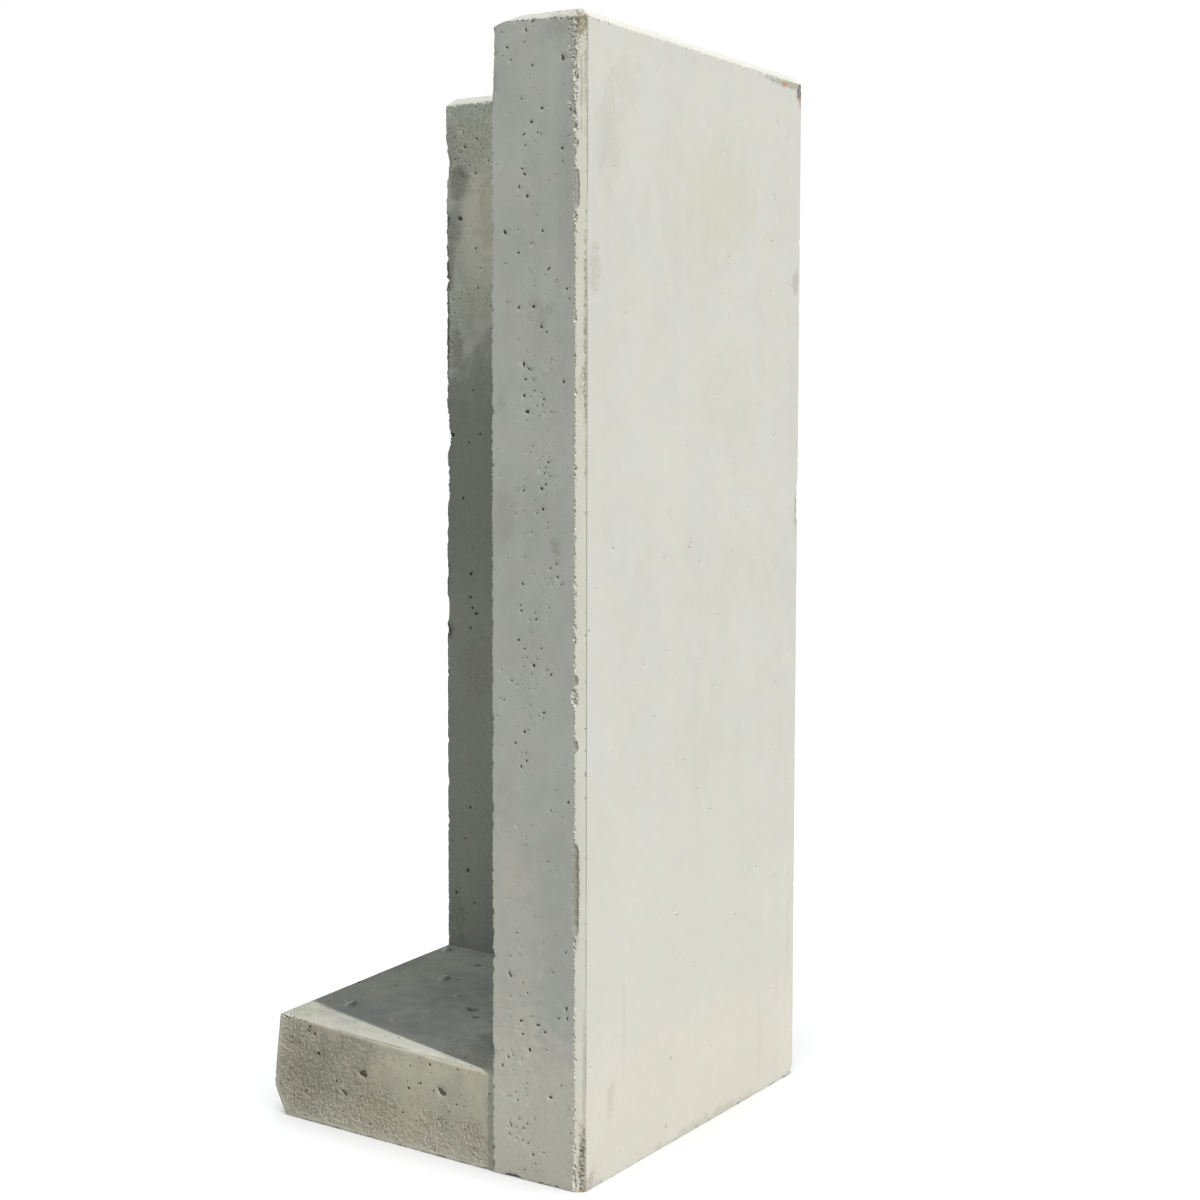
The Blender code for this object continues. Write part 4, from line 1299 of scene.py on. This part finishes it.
def concrete(name, tone, cloud=0.05, streak=0.03, sand=0.05, pores=0.0, rough=0.3, stains_and_painted_light=(),
             open_zones=()):
    """Cast concrete.  cloud, streak and sand: how much each varies the tone.

    pores: share of pin holes, painted as dark specks of shade.  rough: strength of the sand's bump.
    stains:
    (colour, strength, raggedness, centre, reach) in the corner frame; beside real marks, some rows
    are painted shade and painted light.
    open_zones: (strength, centre, reach) where the skin is washed off the sand.
    """
    recipe = Recipe(name)
    mottle = recipe.noise(0.045, 4.0)
    grain = recipe.noise(0.0016, 2.0)
    coarse = recipe.noise(0.0046, 3.0)
    colour = cast_tone(recipe, tone, cloud, streak, sand, mottle, grain)

    fray = recipe.sum('ADD', recipe.between(recipe.noise(0.030, 5.0), 0.25, 0.75, -0.6, 0.6),
                      recipe.between(coarse, 0.25, 0.75, -0.35, 0.35))
    opened = 0.0
    for strength, centre, reach in open_zones:
        zone = recipe.sum('MULTIPLY', recipe.spot(centre, reach, fray), strength)
        opened = recipe.sum('MAXIMUM', zone, opened)
    speckle = recipe.mix(recipe.between(coarse, 0.40, 0.58), SAND_SHADE, SAND_LIGHT)
    colour = recipe.mix(opened, colour, recipe.mix(1.0, colour, speckle, 'MULTIPLY'))
    if pores:
        # Painted shade: dark specks stand for pin holes too small to model
        holes = recipe.sum('MULTIPLY', recipe.specks(PORE_CELL, pores),
                           recipe.between(mottle, 0.50, 0.62))
        colour = recipe.mix(recipe.sum('MULTIPLY', holes, PORE_SHADE), colour, tint(tone, 0.35))

    broken = recipe.attribute("broken")
    fresh = recipe.mix(recipe.between(coarse, 0.43, 0.54), FRESH_SHADE, FRESH_LIGHT)
    colour = recipe.mix(recipe.sum('MULTIPLY', broken, FRESHNESS), colour, fresh)

    patchy = recipe.between(recipe.noise(0.009, 4.0), 0.36, 0.62, 0.35, 1.0)
    # Rows hold real marks, and also painted shade and painted light, mixed over the colour
    for shade, strength, ragged, centre, reach in stains_and_painted_light:
        patch = recipe.spot(centre, reach, recipe.sum('MULTIPLY', fray, ragged))
        thinned = recipe.sum('POWER', patchy, ragged)
        patch = recipe.sum('MULTIPLY', recipe.sum('MULTIPLY', patch, thinned), strength)
        colour = recipe.mix(patch, colour, shade + (1,))
    # Painted shade: pits, the groove, chips and the relief's hollows are darkened toward a tenth of
    # the tone, with some dirt in the chips.
    hollow_shade = recipe.sum('MULTIPLY', recipe.attribute("hollow_shade"), HOLLOW_SHADE_STRENGTH)
    colour = recipe.mix(hollow_shade, colour, tint(tone, 0.10))
    recipe.feed(recipe.shader.inputs["Base Color"], colour)
    recipe.feed(recipe.shader.inputs["Roughness"], recipe.between(mottle, 0.3, 0.7, 0.78, 0.92))
    recipe.shader.inputs["Specular IOR Level"].default_value = 0.25
    loose = recipe.sum('MAXIMUM', broken, opened)
    recipe.bump([(recipe.noise(0.010, 3.0), 0.25, 0.0010), (grain, rough, 0.0004),
                 (recipe.sum('MULTIPLY', loose, coarse), 0.8, 0.0022)])
    return recipe.material


def bar_steel():
    """Reinforcing bar: mill scale gone to thin rust."""
    recipe = Recipe("rusted_bar")
    blotch = recipe.noise(0.012, 4.0)
    colour = recipe.mix(recipe.between(blotch, 0.35, 0.65), MILL_SCALE, BAR_RUST)
    recipe.feed(recipe.shader.inputs["Base Color"], colour)
    recipe.feed(recipe.shader.inputs["Metallic"], recipe.between(blotch, 0.35, 0.65, 0.8, 0.15))
    recipe.feed(recipe.shader.inputs["Roughness"], recipe.between(blotch, 0.35, 0.65, 0.45, 0.9))
    recipe.bump([(blotch, 0.4, 0.0006), (recipe.noise(0.0015), 0.3, 0.0002)])
    return recipe.material


def socket_steel():
    """Galvanised tube: faint spangle."""
    recipe = Recipe("galvanised_socket")
    spangle = recipe.noise(0.006, 2.0)
    colour = recipe.mix(recipe.between(spangle, 0.35, 0.65), ZINC_DULL, ZINC_BRIGHT)
    recipe.feed(recipe.shader.inputs["Base Color"], colour)
    recipe.shader.inputs["Metallic"].default_value = 0.9
    recipe.feed(recipe.shader.inputs["Roughness"], recipe.between(spangle, 0.3, 0.7, 0.32, 0.5))
    recipe.bump([(recipe.noise(0.003), 0.15, 0.0002)])
    return recipe.material


def moulded_plastic(name, colour, dust):
    """Moulded plastic with cement dust settled on it."""
    recipe = Recipe(name)
    film = recipe.between(recipe.noise(0.010, 4.0), 0.42, 0.70, 0.05, dust)
    tone = recipe.mix(film, colour + (1,), CEMENT_DUST)
    recipe.feed(recipe.shader.inputs["Base Color"], tone)
    recipe.feed(recipe.shader.inputs["Roughness"], recipe.between(film, 0, 1, 0.42, 0.85))
    recipe.bump([(recipe.noise(0.0016), 0.15, 0.0002)])
    return recipe.material


def seen_or_thrown(tree, thrown, seen):
    """One colour for the camera and another for the light that bounces."""
    path = tree.nodes.new("ShaderNodeLightPath")
    mix = tree.nodes.new("ShaderNodeMix")
    mix.data_type = 'RGBA'
    mix.inputs[6].default_value = thrown
    mix.inputs[7].default_value = seen
    tree.links.new(path.outputs["Is Camera Ray"], mix.inputs[0])
    return mix.outputs[2]


def floor_paint():
    """Pale floor that throws back less light than it shows."""
    made = bpy.data.materials.new("floor_paint")
    made.use_nodes = True
    tree = made.node_tree
    shader = tree.nodes["Principled BSDF"]
    shader.inputs["Roughness"].default_value = 0.95
    shader.inputs["Specular IOR Level"].default_value = 0.0
    tree.links.new(seen_or_thrown(tree, FLOOR_BOUNCE, FLOOR_SEEN), shader.inputs["Base Color"])
    return made


THROUGH = 0.1                    # how far a stain reaches through the face it lies on
ALONG, BACK, UP = range(3)


def on_face(axis, level, rows):
    """Stains or open zones of a flat face square to an axis.

    Rows are as for concrete, but their places and reaches leave that axis out.
    """
    made = []
    for *head, place, reach in rows:
        centre = list(place)
        spread = list(reach)
        centre.insert(axis, level)
        spread.insert(axis, THROUGH)
        made.append((*head, tuple(centre), tuple(spread)))
    return tuple(made)


FRONT_STAINS = (
    (OLIVE, 0.42, 0.8, (0.56, 2.16), (0.17, 0.13)),
    (OLIVE, 0.28, 0.8, (0.62, 1.71), (0.12, 0.10)),
    (OLIVE, 0.16, 0.6, (0.66, 1.31), (0.09, 0.09)),
    (OLIVE, 0.12, 0.6, (0.55, 0.80), (0.20, 0.22)),
    (PALE, 0.25, 0.4, (0.45, 0.22), (0.90, 0.42)),
    (PALE, 0.28, 0.4, (0.40, 0.06), (0.70, 0.22)),
    (MOSS, 0.15, 0.8, (0.100, 2.26), (0.045, 0.100)),
    (MOSS, 0.24, 0.8, (0.045, 1.970), (0.022, 0.045)),
    (MOSS, 0.10, 1.0, (0.160, 2.37), (0.060, 0.050)),
    (DIRT, 0.14, 1.0, (0.168, 0.34), (0.007, 0.09)),
    (DIRT, 0.08, 0.8, (0.793, 0.13), (0.011, 0.10)),
    (DIRT, 0.12, 1.0, (0.940, 0.38), (0.007, 0.10)),
    (DIRT, 0.20, 1.0, (0.116, 0.18), (0.014, 0.035)),
    (MOSS, 0.60, 1.0, (0.90, 2.474), (0.09, 0.008)),
    (SOOT_AND_SHADE, 0.85, 0.6, (0.962, 2.464), (0.018, 0.018)),
    (RUST, 0.80, 0.4, (0.885, 2.470), (0.013, 0.007)),
    (RUST, 0.80, 0.4, (0.966, 2.438), (0.006, 0.013)),
    (MOSS, 0.60, 0.8, (0.968, 1.435), (0.012, 0.045)),
    (DIRT, 0.35, 0.6, (0.950, 2.000), (0.018, 0.030)),
    (DIRT, 0.45, 1.0, (0.030, 0.000), (0.045, 0.030)),
    (DIRT, 0.26, 1.0, (0.56, 0.000), (0.22, 0.016)),
)
FAR_END_STAINS = (
    (OLIVE, 0.30, 0.8, (0.60, 1.90), (0.20, 0.33)),
    (OLIVE, 0.22, 0.8, (0.40, 0.95), (0.18, 0.28)),
    (DIRT, 0.16, 1.0, (0.26, 2.33), (0.07, 0.12)),
    (DIRT, 0.18, 1.0, (0.83, 1.45), (0.03, 0.20)),
    (PALE, 0.45, 0.5, (0.50, 0.10), (0.70, 0.18)),
)
END_STAINS = (
    (MOSS, 0.20, 1.0, (0.131, 2.190), (0.014, 0.022)),
    (MOSS, 0.26, 1.0, (0.106, 1.880), (0.024, 0.030)),
    (DAMP_AND_SHADE, 0.30, 1.0, (0.205, 1.693), (0.012, 0.018)),
    (MOSS, 0.45, 0.8, (0.068, 1.385), (0.011, 0.016)),
    (MOSS, 0.16, 0.5, (0.205, 1.44), (0.030, 0.060)),
    (DAMP_AND_SHADE, 0.16, 0.5, (0.040, 2.15), (0.025, 0.33)),
    (MOSS, 0.22, 0.8, (0.05, 2.46), (0.05, 0.03)),
    (PALE, 0.55, 0.4, (0.12, 0.02), (0.30, 0.30)),
    (PALE, 0.30, 0.4, (0.20, 0.45), (0.09, 0.35)),
)
LONG_CHIP_STAIN = (MOSS, 0.40, 0.4, (0.004, 0.018, 0.657), (0.012, 0.008, 0.105))
CHAMFER_STAINS = (
    (LIME, 0.30, 0.3, (0.50, 0.40, 2.496), (2.0, 2.0, 0.013)),
    (MOSS, 0.80, 1.0, (0.010, 0.004, 2.470), (0.014, 0.020, 0.040)),
    (DIRT, 0.30, 1.0, (0.000, 0.045, 2.482), (0.030, 0.060, 0.012)),
    (DIRT, 0.35, 0.7, (0.012, 0.002, 2.36), (0.0028, 0.0028, 0.10)),
    (DIRT, 0.40, 0.7, (0.007, 0.009, 2.33), (0.0025, 0.0030, 0.07)),
    (DIRT, 0.65, 1.0, (0.0125, 0.001, 1.80), (0.0040, 0.0040, 0.22)),
    (MOSS, 0.35, 0.6, (0.012, 0.002, 0.26), (0.0040, 0.0040, 0.12)),
    (DIRT, 0.70, 0.8, (0.0110, 0.004, 0.066), (0.0070, 0.0080, 0.066)),
    (RUST, 0.55, 0.8, (0.0090, 0.005, 0.000), (0.0080, 0.0090, 0.010)),
    (MOSS, 0.50, 0.4, (0.0040, 0.018, 0.657), (0.0080, 0.0080, 0.105)),
)
CHAMFER_OPEN = (
    (0.6, (0.0110, 0.004, 0.066), (0.0080, 0.0090, 0.070)),
    (0.6, (0.005, 0.010, 2.46), (0.0150, 0.0150, 0.050)),
    (0.4, (0.500, 0.000, 2.482), (0.6000, 0.0100, 0.006)),
    (0.5, (0.0110, 0.004, 1.700), (0.0080, 0.0090, 0.060)),
)
INNER_STAINS_LIGHT_AND_SHADE = (
    # Painted light on the sunlit patch above the sun's shadow line, over a real pale patch
    (PALE, 0.40, 0.4, (0.82, 2.16), (0.060, 0.15)),
    (DAMP_AND_SHADE, 0.15, 0.8, (0.86, 2.40), (0.10, 0.10)),
    (SOOT_AND_SHADE, 0.50, 0.30, (0.893, 2.28), (0.028, 0.050)),
    (DAMP_AND_SHADE, 0.45, 0.40, (0.925, 2.37), (0.022, 0.070)),
    (SOOT_AND_SHADE, 0.38, 0.20, (0.905, 2.17), (0.024, 0.050)),
    (SOOT_AND_SHADE, 0.40, 0.30, (0.920, 2.07), (0.014, 0.060)),
    (SOOT_AND_SHADE, 0.46, 0.60, (0.902, 1.85), (0.018, 0.060)),
    # Painted shade: these two rows darken the inside below the sun's shadow line, with some real
    # darkening lower down
    (DAMP_AND_SHADE, 0.72, 0.2, (0.60, 0.80), (0.80, 1.20)),
    (DAMP_AND_SHADE, 0.78, 0.2, (0.60, 1.50), (0.80, 0.30)),
)
# Painted shade: near-black marks where the rear arris's nicks and an overhanging lip are in shade
REAR_ARRIS_NICK_SHADE = (
    (SOOT_AND_SHADE, 0.90, 0.50, (INNER, RETURN_END, 1.93), (0.014, 0.011, 0.19)),
    (SOOT_AND_SHADE, 0.85, 0.50, (INNER, RETURN_END, 2.18), (0.014, 0.011, 0.025)),
    (SOOT_AND_SHADE, 0.75, 0.70, (INNER, RETURN_END, 1.62), (0.012, 0.009, 0.05)),
    (SOOT_AND_SHADE, 0.90, 0.40, (INNER, RETURN_END, 1.10), (0.020, 0.015, 0.020)),
    (SOOT_AND_SHADE, 0.50, 0.60, (INNER, RETURN_END, 1.25), (0.010, 0.008, 0.050)),
)
INNER_LATE_STAINS = (
    (SOOT_AND_SHADE, 0.12, 0.60, (0.83, 1.02), (0.070, 0.070)),
    (SOOT_AND_SHADE, 0.25, 0.90, (0.905, 0.32), (0.028, 0.070)),
    (MOSS, 0.28, 0.8, (0.80, 2.18), (0.030, 0.11)),
    (DAMP_AND_SHADE, 0.30, 0.9, (0.70, 2.33), (0.060, 0.05)),
)
INNER_OPEN = (
    (0.55, (0.85, 2.42), (0.14, 0.12)),
    (0.45, (0.86, 1.97), (0.09, 0.05)),
    (0.7, (0.91, 1.84), (0.02, 0.05)),
    (0.7, (0.92, 2.10), (0.02, 0.05)),
)
FOOT_SIDE_STAINS_AND_SHADE = (
    (DAMP_AND_SHADE, 0.28, 0.8, (0.74, 0.12), (0.15, 0.10)),
    (PALE, 0.45, 0.7, (0.45, 0.02), (0.35, 0.045)),
    (RUST, 0.12, 0.8, (0.55, 0.06), (0.10, 0.030)),
    # Painted shade: a narrow dark band along the foot's joint with the wall panel
    (DAMP_AND_SHADE, 0.45, 0.4, (0.243, 0.10), (0.010, 0.13)),
    (DAMP_AND_SHADE, 0.20, 0.7, (0.330, 0.10), (0.090, 0.09)),
    (DAMP_AND_SHADE, 0.22, 0.9, (0.690, 0.20), (0.110, 0.035)),
    (SOOT_AND_SHADE, 0.16, 0.9, (0.800, 0.09), (0.070, 0.080)),
)
FOOT_SIDE_OPEN = (
    (0.28, (0.76, 0.10), (0.16, 0.10)),
    (0.22, (0.52, 0.05), (0.18, 0.07)),
)
FOOT_TOP_STAINS_AND_LIGHT = (
    # Painted light on the sunlit strip along the foot's free upper arris, over a paler trowelled edge
    (PALE, 0.46, 0.4, (0.02, 0.55), (0.080, 0.40)),
    (SOOT_AND_SHADE, 0.30, 0.9, (0.30, 0.30), (0.30, 0.09)),
    (OLIVE, 0.38, 0.9, (0.30, 0.85), (0.45, 0.07)),
)
HEEL_DIRT = (DIRT, 0.32, 1.0, (0.38, 0.915), (0.33, 0.030))
FOOT_TOP_OPEN = (
    (0.7, (0.30, 0.32), (0.30, 0.09)),
    (0.5, (0.30, 0.86), (0.45, 0.06)),
)
FOOT_LEVELS = (0.23, 0.24)       # the foot's top in the middle and toward the heel
CRUST_DEPTH = 0.05


def lump_crusts():
    """Pale crusts on the mortar lumps of the foot's top."""
    return tuple((CRUST, 0.9, 0.2, (along, back, FOOT_LEVELS[1]), (wide, deep, CRUST_DEPTH))
                 for along, back, wide, deep, _, depth in FOOT_TOP_HOLES if depth < 0)


def castings_finishes():
    """The castings' materials, in the order of their slots."""
    middle, heel = FOOT_LEVELS
    return [
        concrete("front_face_concrete", (0.518, 0.517, 0.492), 0.018, 0.008, 0.012, 0.0, 0.15,
                 on_face(BACK, 0, FRONT_STAINS) + on_face(ALONG, WIDTH, FAR_END_STAINS)),
        concrete("end_face_concrete", (0.420, 0.433, 0.407), 0.040, 0.012, 0.020, 0.16, 0.25,
                 on_face(ALONG, 0, END_STAINS) + (LONG_CHIP_STAIN,)),
        concrete("chamfer_concrete", (0.550, 0.548, 0.495), 0.030, 0.012, 0.025, 0.10, 0.3,
                 CHAMFER_STAINS, CHAMFER_OPEN),
        concrete("return_inner_concrete", (0.380, 0.390, 0.341), 0.05, 0.01, 0.04, 0.20, 0.35,
                 on_face(ALONG, INNER, INNER_STAINS_LIGHT_AND_SHADE) + REAR_ARRIS_NICK_SHADE
                 + on_face(ALONG, INNER, INNER_LATE_STAINS), on_face(ALONG, INNER, INNER_OPEN)),
        concrete("foot_side_concrete", (0.472, 0.455, 0.371), 0.09, 0.02, 0.09, 0.14, 0.7,
                 on_face(ALONG, 0, FOOT_SIDE_STAINS_AND_SHADE), on_face(ALONG, 0, FOOT_SIDE_OPEN)),
        concrete("foot_top_concrete", (0.390, 0.405, 0.370), 0.13, 0.0, 0.08, 0.15, 0.6,
                 on_face(UP, middle, FOOT_TOP_STAINS_AND_LIGHT) + on_face(UP, heel, (HEEL_DIRT,))
                 + lump_crusts(), on_face(UP, middle, FOOT_TOP_OPEN)),
    ]


# ------------------------------------------------------- stage and camera

PLUG_ORANGE = (0.50, 0.20, 0.03)
SPACER_GREY = (0.42, 0.42, 0.42)
SPACER_BLOCK_TONE = (0.40, 0.40, 0.38)

SUN_TRAVEL = Vector((0.228, 1.0, -1.072))
SUN_STRENGTH = 3.15
SUN_COLOUR = (1.0, 0.985, 0.94)
SUN_SPREAD = 1.2                 # degrees
FLOOR_LIGHT_TRAVEL = Vector((0.1, 0.1, -1))
FLOOR_LIGHT_STRENGTH = 2.6
FLOOR_LIGHT_SPREAD = 70
WHITE = (1, 1, 1, 1)
SKY_LIGHT = (0.530, 0.550, 0.565, 1)
FLOOR_SEEN = (0.90, 0.90, 0.90, 1)
FLOOR_BOUNCE = (0.56, 0.545, 0.50, 1)
FLOOR_REACH = 30.0
FLOOR_DROP = 0.0005

# The camera stands at eye height off the free front corner
EYE = (-3.4465, -2.2833, 1.6232)
YAW = math.radians(33.0091)
PITCH = math.radians(4.0911)
ROLL = math.radians(0.13)
SENSOR = 36.0
LENS = 59.4066
SHIFT = (-0.0003, -0.0203)


def floor():
    mesh = bpy.data.meshes.new("floor")
    corners = [(x * FLOOR_REACH, y * FLOOR_REACH, 0) for x, y in ((-1, -1), (1, -1), (1, 1), (-1, 1))]
    mesh.from_pydata(corners, [], [(0, 1, 2, 3)])
    made = bpy.data.objects.new("floor", mesh)
    made.location.z = -FLOOR_DROP
    mesh.materials.append(floor_paint())
    bpy.context.scene.collection.objects.link(made)
    made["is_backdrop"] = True
    return made


def camera():
    ahead = Vector((math.cos(YAW) * math.cos(PITCH), math.sin(YAW) * math.cos(PITCH),
                    -math.sin(PITCH)))
    level = Vector((math.sin(YAW), -math.cos(YAW), 0))
    rise = level.cross(ahead)
    right = level * math.cos(ROLL) + rise * math.sin(ROLL)
    up = rise * math.cos(ROLL) - level * math.sin(ROLL)
    data = bpy.data.cameras.new("camera")
    data.sensor_width = SENSOR
    data.lens = LENS
    data.shift_x, data.shift_y = SHIFT
    made = bpy.data.objects.new("camera", data)
    turn = Matrix((right, up, -ahead)).transposed().to_4x4()
    made.matrix_world = Matrix.Translation(at(*EYE)) @ turn
    bpy.context.scene.collection.objects.link(made)
    bpy.context.scene.camera = made


def sun(name, travel, strength, colour, spread, receivers):
    data = bpy.data.lights.new(name, 'SUN')
    data.energy = strength
    data.color = colour
    data.angle = math.radians(spread)
    made = bpy.data.objects.new(name, data)
    made.rotation_euler = travel.to_track_quat('-Z', 'Y').to_euler()
    bpy.context.scene.collection.objects.link(made)
    group = bpy.data.collections.new(name + "_receivers")
    for item in receivers:
        group.objects.link(item)
    made.light_linking.receiver_collection = group


def sky():
    """Soft light from all round; the camera itself sees plain white."""
    world = bpy.data.worlds.new("sky")
    world.use_nodes = True
    tree = world.node_tree
    glow = tree.nodes["Background"]
    tree.links.new(seen_or_thrown(tree, SKY_LIGHT, WHITE), glow.inputs["Color"])
    bpy.context.scene.world = world
    bpy.context.scene.view_settings.view_transform = 'Standard'


def finish_small_parts():
    """The steel, plastic and small concrete nodes keep their CAD shape."""
    bars = bar_steel()
    looks = {
        "lifting_socket": socket_steel(),
        "socket_plug": moulded_plastic("plug_plastic", PLUG_ORANGE, 0.65),
        "face_spacer": moulded_plastic("spacer_plastic", SPACER_GREY, 0.70),
        "foot_spacer": concrete("spacer_block_concrete", SPACER_BLOCK_TONE),
    }
    for name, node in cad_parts.items():
        if node.hide_render:
            continue
        own = [look for start, look in looks.items() if name.startswith(start)]
        node.data.materials.clear()
        node.data.materials.append(own[0] if own else bars)


def build():
    finishes = castings_finishes()
    for make, node, slot in ((front_panel, "front_wall_panel", "front_concrete"),
                             (return_panel, "return_wall_panel", "return_concrete"),
                             (foot, "foot_slab", "foot_concrete")):
        piece = make()
        for finish in finishes:
            piece.data.materials.append(finish)
        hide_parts(node)
        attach(piece, "root")
    finish_small_parts()
    ground = floor()
    sun("sun", SUN_TRAVEL, SUN_STRENGTH, SUN_COLOUR, SUN_SPREAD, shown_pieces())
    sun("floor_light", FLOOR_LIGHT_TRAVEL, FLOOR_LIGHT_STRENGTH, WHITE[:3], FLOOR_LIGHT_SPREAD,
        [ground])
    sky()
    camera()


build()
